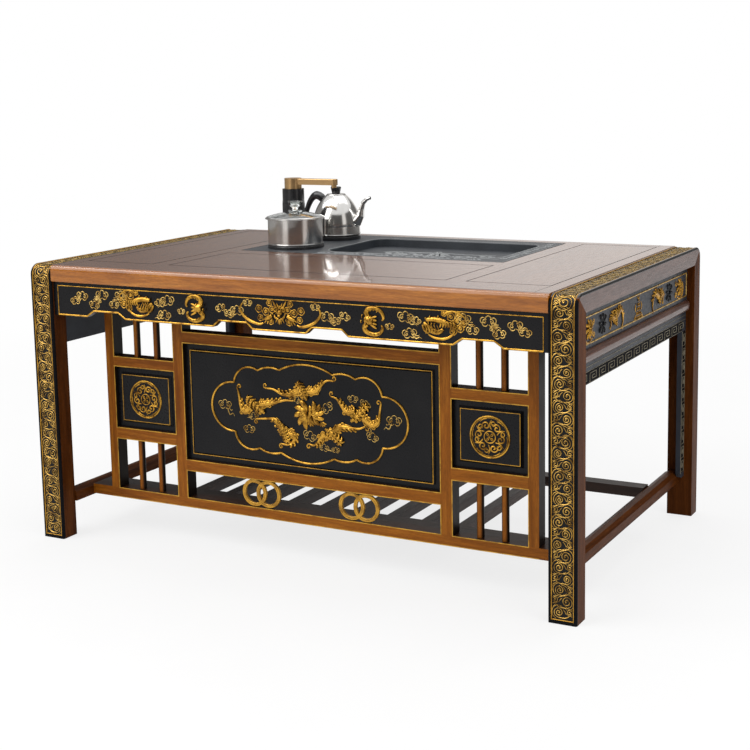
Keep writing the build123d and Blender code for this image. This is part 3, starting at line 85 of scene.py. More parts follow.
class Nodes:
    """The node tree of a material or of the world, with short ways to add nodes and join them."""

    def __init__(self, name: str, world: bpy.types.World | None = None) -> None:
        """Starts with an empty tree and its output.

        Args:
            name: the material's name.
            world: the world that the tree belongs to, where it isn't a material's.
        """
        self.owner = bpy.data.materials.new(name) if world is None else world
        self.owner.use_nodes = True
        self.tree = self.owner.node_tree
        self.tree.nodes.clear()
        self.output = self.add("ShaderNodeOutputMaterial" if world is None else "ShaderNodeOutputWorld")
        self.place = self.add("ShaderNodeTexCoord").outputs["Object"]

    def add(self, kind: str, inputs: dict | None = None, **settings: object) -> bpy.types.Node:
        """Adds a node.

        Args:
            kind: the node's type.
            inputs: socket name or number to a value, or to an output to join.
            **settings: properties of the node.

        Returns:
            The new node.
        """
        node = self.tree.nodes.new(kind)
        for key, value in settings.items():
            setattr(node, key, value)
        for key, value in (inputs or {}).items():
            socket = node.inputs[key]
            if isinstance(value, Socket):
                self.tree.links.new(value, socket)
            else:
                socket.default_value = value
        return node

    def noise(self, scale: float, detail: float = 3.0, stretch: Sequence[float] | None = None,
              distortion: float = 0.0) -> Socket:
        """Adds noise over the object's own place.

        Args:
            scale: how fine it is, per metre.
            detail: levels of finer noise.
            stretch: scale along each axis.
            distortion: how far the noise bends itself.

        Returns:
            The noise value, from 0 to 1.
        """
        vector = self.place
        if stretch:
            vector = self.add("ShaderNodeMapping", {"Vector": vector, "Scale": tuple(stretch)}).outputs[0]
        return self.add("ShaderNodeTexNoise", {"Vector": vector, "Scale": scale, "Detail": detail,
                                               "Distortion": distortion}).outputs["Fac"]

    def ramp(self, value: Socket, stops: Sequence[tuple[float, Colour]]) -> Socket:
        """Turns a value into a colour.

        Args:
            value: the value to read.
            stops: places from 0 to 1 with their colours.

        Returns:
            The colour.
        """
        node = self.add("ShaderNodeValToRGB", {"Fac": value})
        points = node.color_ramp.elements
        while len(points) < len(stops):
            points.new(0.5)
        for point, (place, colour) in zip(points, stops):
            point.position, point.color = place, (*colour, 1.0)
        return node.outputs["Color"]

    def rescale(self, value: Socket, low: float, high: float, new_low: float = 0.0,
                new_high: float = 1.0) -> Socket:
        """Maps the range from low to high onto another one."""
        return self.add("ShaderNodeMapRange", {"Value": value, "From Min": low, "From Max": high,
                                               "To Min": new_low, "To Max": new_high}).outputs["Result"]

    def span(self, value: Socket, low: float, high: float) -> Socket:
        """Maps the middle of a noise value onto a range."""
        return self.rescale(value, 0.3, 0.7, low, high)

    def compute(self, operation: str, *values: object) -> Socket:
        """Works out one operation on numbers or outputs."""
        return self.add("ShaderNodeMath", dict(enumerate(values)), operation=operation).outputs[0]

    def blend(self, first: object, second: object, share: object, mode: str = "MIX") -> Socket:
        """Mixes two colours.

        Args:
            first: a colour or an output.
            second: a colour or an output.
            share: how much of the second, a number or an output.
            mode: how they are blended.

        Returns:
            The mixed colour.
        """
        pair = {6: first, 7: second}
        inputs = {key: value if isinstance(value, Socket) else (*value, 1.0)
                  for key, value in pair.items()}
        return self.add("ShaderNodeMix", {0: share, **inputs}, data_type="RGBA", blend_type=mode).outputs[2]

    def part(self, vector: Socket, axis: int) -> Socket:
        """Gives the size of one part of a vector, without its sign."""
        return self.compute("ABSOLUTE", self.add("ShaderNodeSeparateXYZ", {0: vector}).outputs[axis])

    def facing(self, axis: int, low: float, high: float) -> Socket:
        """Finds faces that look along an axis: 0 under the low share of it, 1 over the high one."""
        normal = self.add("ShaderNodeNewGeometry").outputs["Normal"]
        return self.rescale(self.part(normal, axis), low, high)

    def beyond(self, axis: int, edge: float, fade: float = 0.5 * MM) -> Socket:
        """Finds places further out along an axis than an edge, in metres."""
        return self.rescale(self.part(self.place, axis), edge, edge + fade)

    def seen(self) -> Socket:
        """Tells rays of the camera, of gloss and of glass, 1, from those of plain light, 0."""
        path = self.add("ShaderNodeLightPath").outputs
        sharp = self.compute("MAXIMUM", path["Is Camera Ray"], path["Is Glossy Ray"])
        return self.compute("MAXIMUM", sharp, path["Is Transmission Ray"])

    def bump(self, height: Socket, depth: float) -> Socket:
        """Turns a height into a surface normal, with its depth in millimetres."""
        inputs = {"Height": height, "Strength": 1.0, "Distance": depth * MM}
        return self.add("ShaderNodeBump", inputs).outputs[0]

    def glow(self, colour: object = WHITE, strength: float = 1.0) -> Socket:
        """Adds a surface that gives off light."""
        return self.add("ShaderNodeEmission", {"Color": colour, "Strength": strength}).outputs[0]

    def mix(self, share: Socket, first: Socket, second: Socket) -> Socket:
        """Mixes two surfaces by the share of the second."""
        return self.add("ShaderNodeMixShader", {0: share, 1: first, 2: second}).outputs[0]

    def show(self, surface: Socket) -> bpy.types.ID:
        """Joins a surface to the output and gives the finished material or world."""
        self.tree.links.new(surface, self.output.inputs["Surface"])
        return self.owner

    def coated(self, **inputs: object) -> Socket:
        """Adds the general surface, by socket names with underscores for spaces."""
        named = {key.replace("_", " "): value for key, value in inputs.items()}
        return self.add("ShaderNodeBsdfPrincipled", named).outputs[0]

    def finish(self, **inputs: object) -> bpy.types.Material:
        """Adds the general surface, as coated does, and gives the finished material."""
        return self.show(self.coated(**inputs))


def shade(colour: Colour, share: float) -> Colour:
    """Makes a colour darker or lighter by a share of itself."""
    return tuple(share * part for part in colour)


@dataclass(frozen=True)
class Hardwood:
    """Varnished hardwood with straight grain, open pores and slow changes of colour."""

    name: str
    dark: Colour
    middle: Colour
    light: Colour
    roughness: float = 0.36
    coat: float = 0.12
    gloss: float = 0.25
    painted_reveal_shade: bool = False
    margins: bool = False
    painted_light_top: Colour | None = None
    coat_roughness: float = 0.14
    painted_reflection_share: float = 0.72
    painted_shade_sides: Colour = (0.010, 0.006, 0.004)
    painted_shade_flats: Colour = (0.030, 0.010, 0.004)
    margin: Colour = (0.006, 0.006, 0.007)
    margin_edges: tuple[tuple[int, float], ...] = ((1, 0.4925), (2, 0.7735))

    def make(self, grain: Grain) -> bpy.types.Material:
        """Builds the wood with its grain along one axis.

        Args:
            grain: the axis that the grain runs along.

        Returns:
            The material.
        """
        book = Nodes(f"{self.name}_{grain.name.lower()}")
        figure = book.noise(2.6, 6.0, grain.value, 1.4)
        streak = book.noise(22.0, 4.0, grain.value, 0.4)
        pores = book.noise(70.0, 2.0, grain.value)
        base = book.ramp(figure, ((0.30, self.dark), (0.50, self.middle), (0.72, self.light)))
        base = book.blend(base, shade(self.dark, 0.62), book.span(streak, 0.55, 0.0))
        base = book.blend(base, self.light, book.span(book.noise(1.3, 2.0), 0.0, 0.25))
        base = book.blend(base, shade(self.dark, 0.35), book.span(pores, 0.35, 0.0))
        # Painted shade: faces that look sideways, and faces that look up or down, are darkened by their
        # direction.
        if self.painted_reveal_shade:
            base = book.blend(base, self.painted_shade_sides, book.facing(0, 0.4, 0.8))
            base = book.blend(base, self.painted_shade_flats, book.facing(2, 0.4, 0.8))
        # Painted reflection: faces that look up are greyed and darkened towards the tone that reflection
        # gives the top.
        if self.painted_light_top:
            share = book.compute("MULTIPLY", book.facing(2, 0.8, 0.98), self.painted_reflection_share)
            base = book.blend(base, self.painted_light_top, share)
        if self.margins:
            for axis, edge in self.margin_edges:
                base = book.blend(base, self.margin, book.beyond(axis, edge))
        roughness = book.span(streak, self.roughness + 0.06, self.roughness - 0.04)
        return book.finish(Base_Color=base, Roughness=roughness, Normal=book.bump(pores, 0.12),
                           Coat_Weight=self.coat, Coat_Roughness=self.coat_roughness, IOR=1.5,
                           Specular_IOR_Level=self.gloss)


@dataclass(frozen=True)
class Lacquer:
    """Black lacquer with a faint brushed unevenness."""

    name: str
    colour: Colour
    worn: Colour
    roughness: float = 0.28
    gloss: float = 0.16

    def make(self) -> bpy.types.Material:
        """Builds the material."""
        book = Nodes(self.name)
        cloudy = book.noise(9.0, 5.0)
        fine = book.noise(160.0, 3.0)
        return book.finish(Base_Color=book.blend(self.colour, self.worn, book.span(cloudy, 0.0, 0.8)),
                           Roughness=book.span(fine, self.roughness + 0.1, self.roughness - 0.05),
                           Normal=book.bump(fine, 0.10), IOR=1.5, Specular_IOR_Level=self.gloss)


@dataclass(frozen=True)
class Gilding:
    """Antique gilding with darker toning in its low places, partly patina and partly painted shade, and
    brighter patches at random.
    """

    name: str
    bright: Colour
    deep: Colour
    metallic: float = 0.75
    roughness: float = 0.36
    painted_shade_top: float = 0.0
    painted_shade_tone: Colour = (0.060, 0.045, 0.018)
    painted_shade_height: float = 0.776
    hollow_reach: float = 5 * MM
    hollow: tuple[float, float] = (0.34, 0.96)
    patina_and_shade_tone: float = 0.16

    def make(self) -> bpy.types.Material:
        """Builds the material."""
        book = Nodes(self.name)
        tone = book.noise(45.0, 5.0)
        fine = book.noise(420.0, 3.0)
        colour = book.ramp(tone, ((0.32, self.deep), (0.55, self.bright), (0.8, shade(self.bright, 1.25))))
        # Darkening where occlusion finds hollows: partly patina and partly painted shade.
        shut = book.add("ShaderNodeAmbientOcclusion", {"Distance": self.hollow_reach}, samples=6)
        open_share = book.rescale(shut.outputs["AO"], *self.hollow)
        colour = book.blend(shade(self.deep, self.patina_and_shade_tone), colour, open_share)
        # Painted shade: the top run of the band, above the set height, is darkened towards an olive tone.
        if self.painted_shade_top:
            painted_light_top = book.compute("MULTIPLY", book.beyond(2, self.painted_shade_height), self.painted_shade_top)
            colour = book.blend(colour, self.painted_shade_tone, painted_light_top)
        return book.finish(Base_Color=colour, Metallic=self.metallic,
                           Roughness=book.span(fine, self.roughness + 0.14, self.roughness - 0.06),
                           Normal=book.bump(fine, 0.12))


@dataclass(frozen=True)
class Stone:
    """Honed dark stone with fine grain and pale flecks."""

    name: str
    dark: Colour
    light: Colour
    roughness: float = 0.5

    def make(self) -> bpy.types.Material:
        """Builds the material."""
        book = Nodes(self.name)
        fleck = book.noise(900.0, 2.0)
        slow = book.noise(14.0, 6.0)
        colour = book.blend(self.dark, self.light, book.span(slow, 0.0, 0.9))
        colour = book.blend(colour, shade(self.light, 2.2), book.span(fleck, 0.0, 0.22))
        return book.finish(Base_Color=colour, Normal=book.bump(fleck, 0.10),
                           Roughness=book.span(fleck, self.roughness + 0.1, self.roughness - 0.1))


@dataclass(frozen=True)
class Steel:
    """Stainless steel, from mirror polish to a brushed ring."""

    name: str
    colour: Colour
    roughness: float
    brushed: float = 0.0

    def make(self) -> bpy.types.Material:
        """Builds the material."""
        book = Nodes(self.name)
        lines = book.noise(60.0, 3.0, (1.0, 1.0, 24.0))
        smudge = book.noise(24.0, 4.0)
        dimmed = book.blend(self.colour, shade(self.colour, 0.86), book.span(smudge, 0.0, 1.0))
        return book.finish(Base_Color=dimmed, Metallic=1.0,
                           Roughness=book.span(smudge, self.roughness, self.roughness + 0.05),
                           Normal=book.bump(lines, 0.02 + self.brushed))


@dataclass(frozen=True)
class Plastic:
    """Moulded plastic with a fine texture."""

    name: str
    colour: Colour
    roughness: float

    def make(self) -> bpy.types.Material:
        """Builds the material."""
        book = Nodes(self.name)
        grain = book.noise(700.0, 2.0)
        cloudy = book.noise(30.0, 3.0)
        worn = tuple(1.5 * part + 0.002 for part in self.colour)
        return book.finish(Base_Color=book.blend(self.colour, worn, book.span(cloudy, 0.0, 0.7)),
                           Roughness=book.span(cloudy, self.roughness - 0.04, self.roughness + 0.05),
                           Normal=book.bump(grain, 0.02), IOR=1.5)


@dataclass(frozen=True)
class Glass:
    """Clear glass with a faint tint."""

    name: str
    colour: Colour

    def make(self) -> bpy.types.Material:
        """Builds the material."""
        book = Nodes(self.name)
        waves = book.noise(40.0, 2.0)
        return book.finish(Base_Color=(*self.colour, 1.0), Roughness=0.02, Transmission_Weight=1.0, IOR=1.45,
                           Normal=book.bump(waves, 0.02))


class Palette:
    """All the finishes of the table, each built once."""

    def __init__(self) -> None:
        """Builds the finishes."""
        x, y, z = Grain.X, Grain.Y, Grain.Z
        warm = Hardwood("warm_wood", (0.150, 0.038, 0.002), (0.300, 0.088, 0.006), (0.440, 0.155, 0.014),
                        roughness=0.40, coat=0.0, gloss=0.12, painted_reveal_shade=True)
        # Table wood: its faces that look up carry a painted reflection tone.
        table = Hardwood("table_wood", (0.240, 0.068, 0.008), (0.430, 0.140, 0.016), (0.560, 0.215, 0.032),
                         roughness=0.20, coat=0.60, gloss=0.20, painted_light_top=(0.090, 0.050, 0.044),
                         coat_roughness=0.05)
        dark = Hardwood("dark_wood", (0.040, 0.010, 0.002), (0.095, 0.025, 0.004), (0.150, 0.046, 0.009),
                        roughness=0.36, coat=0.0, gloss=0.03, margins=True)
        rail = Hardwood("rail_wood", (0.050, 0.020, 0.013), (0.100, 0.045, 0.032), (0.155, 0.075, 0.055),
                        roughness=0.30, coat=0.30, gloss=0.25, margins=True)
        shaded = Hardwood("shaded_wood", (0.012, 0.005, 0.003), (0.026, 0.010, 0.005), (0.046, 0.018, 0.009),
                          roughness=0.45, coat=0.0)
        self.warm = {grain: warm.make(grain) for grain in (x, z)}
        self.table = {grain: table.make(grain) for grain in (x, y)}
        self.dark = {grain: dark.make(grain) for grain in (y, z)}
        self.shaded = {grain: shaded.make(grain) for grain in (x, y)}
        self.rail = rail.make(y)
        # Matt black lacquer: the fret grounds, and the painted shadow at the top's joints.
        self.ground = Lacquer("matt_lacquer", (0.004, 0.004, 0.005), (0.008, 0.008, 0.009), 0.55, 0.02).make()
        self.lacquer = Lacquer("black_lacquer", (0.0045, 0.0045, 0.0055), (0.010, 0.0095, 0.010)).make()
        # The end boards' lacquer is lifted from black to blue-grey: partly the board's own tone and partly
        # painted reflection.
        self.board = Lacquer("end_lacquer_partly_painted_reflection", (0.016, 0.018, 0.024), (0.040, 0.045, 0.056), 0.36).make()
        self.gold = Gilding("gilding", (0.66, 0.35, 0.045), (0.19, 0.082, 0.008), 0.85, 0.26).make()
        self.line = Gilding("gilt_line", (0.56, 0.29, 0.028), (0.30, 0.14, 0.012), 0.5, 0.38).make()
        self.pale_gold = Gilding("pale_gilding", (0.72, 0.47, 0.13), (0.30, 0.15, 0.02), 0.7, 0.24).make()
        # Band gilding: its top run carries painted shade.
        self.band_gold = Gilding("band_gilding", (0.60, 0.36, 0.080), (0.12, 0.058, 0.009), 0.80, 0.18,
                                 painted_shade_top=0.75).make()
        self.aged_line = Gilding("aged_line", (0.34, 0.30, 0.21), (0.18, 0.15, 0.10), 0.5, 0.42).make()
        self.stone = Stone("stone", (0.010, 0.013, 0.017), (0.026, 0.031, 0.038)).make()
        self.carved_stone = Stone("carved_stone", (0.13, 0.14, 0.145), (0.32, 0.33, 0.33), 0.6).make()
        self.steel = Steel("steel", (0.72, 0.71, 0.69), 0.13).make()
        self.brushed = Steel("brushed_steel", (0.60, 0.60, 0.59), 0.28, 0.06).make()
        self.black = Plastic("black_plastic", (0.010, 0.010, 0.011), 0.22).make()
        self.rubber = Plastic("matt_plastic", (0.018, 0.018, 0.019), 0.5).make()
        self.brass = Steel("gold_metal", (0.56, 0.36, 0.17), 0.30).make()
        self.glass = Glass("glass", (0.93, 0.96, 0.95)).make()


@dataclass
class Dressing:
    """Gives each solid of the frame its finish."""

    palette: Palette

    def dress(self) -> None:
        """Puts a finish on every node of the frame."""
        p, x, y, z = self.palette, Grain.X, Grain.Y, Grain.Z
        plan: tuple[tuple[bpy.types.Material, str], ...] = (
            (p.table[x], "top_front_rail top_rear_rail tray_rail top_panel_front"),
            (p.table[y], "top_end_stiles top_dividers top_panel_left top_panel_right"),
            (p.warm[x], "screen_bottom_rail panel_rails bay_rails"),
            (p.shaded[x], "screen_head_rail footrest_board rear_stretcher"),
            (p.shaded[y], "top_battens tray_ledgers footrest_bars"),
            (p.warm[z], "outer_stiles inner_stiles spindles"),
            (p.rail, "end_rail_left end_rail_right end_mouldings"),
            (p.dark[y], "end_stretcher_left end_stretcher_right"),
            (p.dark[z], "leg_front_left leg_front_right leg_rear_left leg_rear_right"),
            (p.lacquer, "apron_front apron_rear centre_panel bay_panels"),
            (p.board, "end_board_left end_board_right end_fret_left end_fret_right"),
            (p.gold, "cartouche ring_pairs medallions screen_carving apron_carving end_carving"),
            (p.gold, "cloud_band_left cloud_band_right"),
            (p.stone, "tea_tray"),
            (p.steel, "kettle_body kettle_lid pot_body"),
            (p.brushed, "basin_strainer"),
            (p.black, "pot_heater kettle_heater kettle_handle kettle_knob water_column"),
            (p.rubber, "hob_case drain_spout"),
            (p.brass, "faucet"),
            (p.glass, "pot_lid pot_knob"),
        )
        for material, names in plan:
            for name in names.split():
                node = frame["nodes"][name]
                node.data.materials.clear()
                node.data.materials.append(material)
                log.info("dressed %s in %s", name, material.name)


def smooth(points: Sequence[Point], steps: int) -> list[Point]:
    """Runs a rounded line through points.

    Args:
        points: the points, in order.
        steps: parts that each run between two points is cut into.

    Returns:
        Points along the rounded line, with both ends kept.
    """
    if steps < 2 or len(points) < 3:
        return list(points)
    path = []
    for i in range(len(points) - 1):
        before, a, b = points[max(i - 1, 0)], points[i], points[i + 1]
        after = points[min(i + 2, len(points) - 1)]
        for k in range(steps):
            t = k / steps
            path.append(tuple(
                0.5 * (2 * a[n] + (b[n] - before[n]) * t
                       + (2 * before[n] - 5 * a[n] + 4 * b[n] - after[n]) * t * t
                       + (3 * a[n] - before[n] - 3 * b[n] + after[n]) * t ** 3) for n in (0, 1)))
    return path + [tuple(points[-1])]


def along(values: Sequence[float], t: float) -> float:
    """Reads a row of values at a share of its length, from 0 to 1."""
    place = t * (len(values) - 1)
    i = min(int(place), len(values) - 2)
    return values[i] + (values[i + 1] - values[i]) * (place - i)


def toward(origin: Point, angle: float, distance: float) -> Point:
    """Gives the point at an angle in degrees and a distance from another."""
    turn = math.radians(angle)
    return (origin[0] + distance * math.cos(turn), origin[1] + distance * math.sin(turn))


def bearing(a: Point, b: Point) -> float:
    """Gives the direction from one point to another, in degrees."""
    return math.degrees(math.atan2(b[1] - a[1], b[0] - a[0]))


def circle(reach: float, step: int) -> list[Point]:
    """Gives the points of a closed circle, with a step in degrees."""
    return [toward((0, 0), angle, reach) for angle in range(0, 361, step)]


def scaled(size: float, *shares: float) -> list[float]:
    """Gives shares of a size, such as the half widths along a stroke."""
    return [size * share for share in shares]


def spiral(centre: Point, reach: float, turns: float, start: float, hand: int,
           step: float = 40.0) -> list[Point]:
    """Runs a spiral from its outer end to its eye.

    Args:
        centre: the eye's place.
        reach: the outer end's distance from it.
        turns: how many times it goes round.
        start: angle of the outer end, in degrees.
        hand: 1 for anticlockwise, -1 for clockwise.
        step: degrees between points.

    Returns:
        Points along the spiral.
    """
    count = max(3, round(360 * turns / step))
    return [toward(centre, start + hand * 360 * turns * k / count, reach * (1 - 0.86 * k / count))
            for k in range(count + 1)]


@dataclass(frozen=True)
class Stroke:
    """One ridge of carving along a line, with its half widths from start to end."""

    points: Sequence[Point]
    widths: Sequence[float] = (1.2, 1.2)
    lift: float | Sequence[float] = 0.0
    steps: int = 3

    def lifts(self) -> tuple[float, ...]:
        """Gives the heights of its foot from start to end."""
        return tuple(self.lift) if isinstance(self.lift, Sequence) else (self.lift, self.lift)

    def moved(self, across: float, up: float, turn: float = 0.0, mirror: int = 1,
              size: float = 1.0) -> "Stroke":
        """Copies the stroke to another place.

        Args:
            across: move across.
            up: move up.
            turn: turn in degrees.
            mirror: -1 flips it left to right before the turn.
            size: how much larger it becomes.

        Returns:
            The moved stroke.
        """
        c, s = math.cos(math.radians(turn)) * size, math.sin(math.radians(turn)) * size
        points = [(across + c * mirror * x - s * y, up + s * mirror * x + c * y) for x, y in self.points]
        return Stroke(points, [size * width for width in self.widths], [size * lift for lift in self.lifts()],
                      self.steps)


def moved(strokes: Iterable[Stroke], *where: float) -> list[Stroke]:
    """Copies strokes to another place, as Stroke.moved does."""
    return [stroke.moved(*where) for stroke in strokes]


def strokes_of(*rows: tuple) -> list[Stroke]:
    """Makes a stroke of each row of points, half widths, lift and steps."""
    return [Stroke(*row) for row in rows]


class Bench:
    """Shared ways to make meshes and to give a finished piece its finish and body."""

    @staticmethod
    def only(thing: Thing) -> None:
        """Selects one object and nothing else."""
        for other in bpy.context.selected_objects:
            other.select_set(False)
        thing.select_set(True)
        bpy.context.view_layer.objects.active = thing

    @staticmethod
    def link(name: str, data: bpy.types.ID) -> Thing:
        """Adds an object with its data to the scene."""
        thing = bpy.data.objects.new(name, data)
        bpy.context.scene.collection.objects.link(thing)
        return thing

    @staticmethod
    def carve(name: str, strokes: Sequence[Stroke], place: Matrix, rise: float = 1.0,
              sides: int = 1) -> Thing:
        """Raises strokes as ridges on a plane.

        Args:
            name: the piece's name.
            strokes: its strokes, in the plane's millimetres.
            place: the plane's place.
            rise: height of a ridge for each millimetre of half width.
            sides: 0 for a sharp crest, more for rounder.

        Returns:
            The mesh object, at its place.
        """
        curve = bpy.data.curves.new(name, "CURVE")
        curve.dimensions, curve.twist_mode = "3D", "Z_UP"
        curve.bevel_depth, curve.bevel_resolution, curve.use_fill_caps = 1.0, sides, True
        for stroke in strokes:
            path = smooth(stroke.points, stroke.steps)
            spline = curve.splines.new("POLY")
            spline.points.add(len(path) - 1)
            for k, (point, (across, up)) in enumerate(zip(spline.points, path)):
                t = k / (len(path) - 1)
                point.co = (across, up, along(stroke.lifts(), t) / rise, 1.0)
                point.radius = along(stroke.widths, t)
        Bench.only(Bench.link(name, curve))
        bpy.ops.object.convert(target="MESH")
        thing = bpy.context.object
        thing.data.transform(place @ Matrix.Diagonal((1.0, 1.0, rise, 1.0)))
        return thing

    @staticmethod
    def bars(name: str, boxes: Sequence[Sequence[float]], round_off: float = 0.0) -> Thing:
        """Makes straight bars as one mesh.

        Args:
            name: the piece's name.
            boxes: x0, x1, y0, y1, z0, z1 of each bar, in millimetres.
            round_off: rounding of all edges, in millimetres.

        Returns:
            The mesh object, at its place.
        """
        parts = []
        for x0, x1, y0, y1, z0, z1 in boxes:
            middle = [MM * (a + b) / 2 for a, b in ((x0, x1), (y0, y1), (z0, z1))]
            bpy.ops.mesh.primitive_cube_add(size=1.0, location=middle,
                                            scale=[MM * (x1 - x0), MM * (y1 - y0), MM * (z1 - z0)])
            parts.append(bpy.context.object)
        thing = Bench.join(name, parts)
        bpy.ops.object.transform_apply(location=True, rotation=True, scale=True)
        if round_off:
            bevel = thing.modifiers.new("round", "BEVEL")
            bevel.width, bevel.segments = round_off * MM, 2
            bpy.ops.object.modifier_apply(modifier="round")
        return thing

    @staticmethod
    def turned(name: str, profile: Sequence[Point], centre: Sequence[float], place: Matrix | None = None,
               steps: int = 64) -> Thing:
        """Spins a profile round its axis.

        Args:
            name: the piece's name.
            profile: distance from the axis and height of each point, in millimetres.
            centre: the axis's place, in millimetres.
            place: a plane's place to stand it on, instead of the floor's.
            steps: parts of the full turn.

        Returns:
            The mesh object, at its place.
        """
        mesh = bpy.data.meshes.new(name)
        mesh.from_pydata([(r, 0.0, z) for r, z in profile], [(i, i + 1) for i in range(len(profile) - 1)], [])
        thing = Bench.link(name, mesh)
        Bench.only(thing)
        bpy.ops.object.mode_set(mode="EDIT")
        bpy.ops.mesh.select_all(action="SELECT")
        bpy.ops.mesh.spin(steps=steps, angle=2 * math.pi, center=(0, 0, 0), axis=(0, 0, 1))
        bpy.ops.mesh.select_all(action="SELECT")
        bpy.ops.mesh.remove_doubles(threshold=0.001)
        bpy.ops.mesh.normals_make_consistent(inside=False)
        bpy.ops.object.mode_set(mode="OBJECT")
        bpy.ops.object.shade_smooth_by_angle(angle=math.radians(40))
        base = place if place else Matrix.Scale(MM, 4)
        thing.data.transform(base @ Matrix.Translation(Vector(centre)))
        return thing

    @staticmethod
    def join(name: str, parts: Sequence[Thing]) -> Thing:
        """Joins meshes into one piece."""
        Bench.only(parts[0])
        for part in parts[1:]:
            part.select_set(True)
        if len(parts) > 1:
            bpy.ops.object.join()
        thing = bpy.context.object
        thing.name = name
        return thing

    @staticmethod
    def hand_in(thing: Thing, material: bpy.types.Material, slot: str, body: str = "table",
                replaces: Sequence[str] = ()) -> Thing:
        """Gives a piece its finish and its body, and hides the nodes that it stands for.

        Args:
            thing: the piece.
            material: its finish.
            slot: the record's material slot; not used.
            body: the body that it moves with.
            replaces: nodes that it stands for.

        Returns:
            The piece.
        """
        thing.data.materials.clear()
        thing.data.materials.append(material)
        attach(thing, body)
        if replaces:
            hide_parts(*replaces)
        log.info("made %s: %d faces", thing.name, len(thing.data.polygons))
        return thing


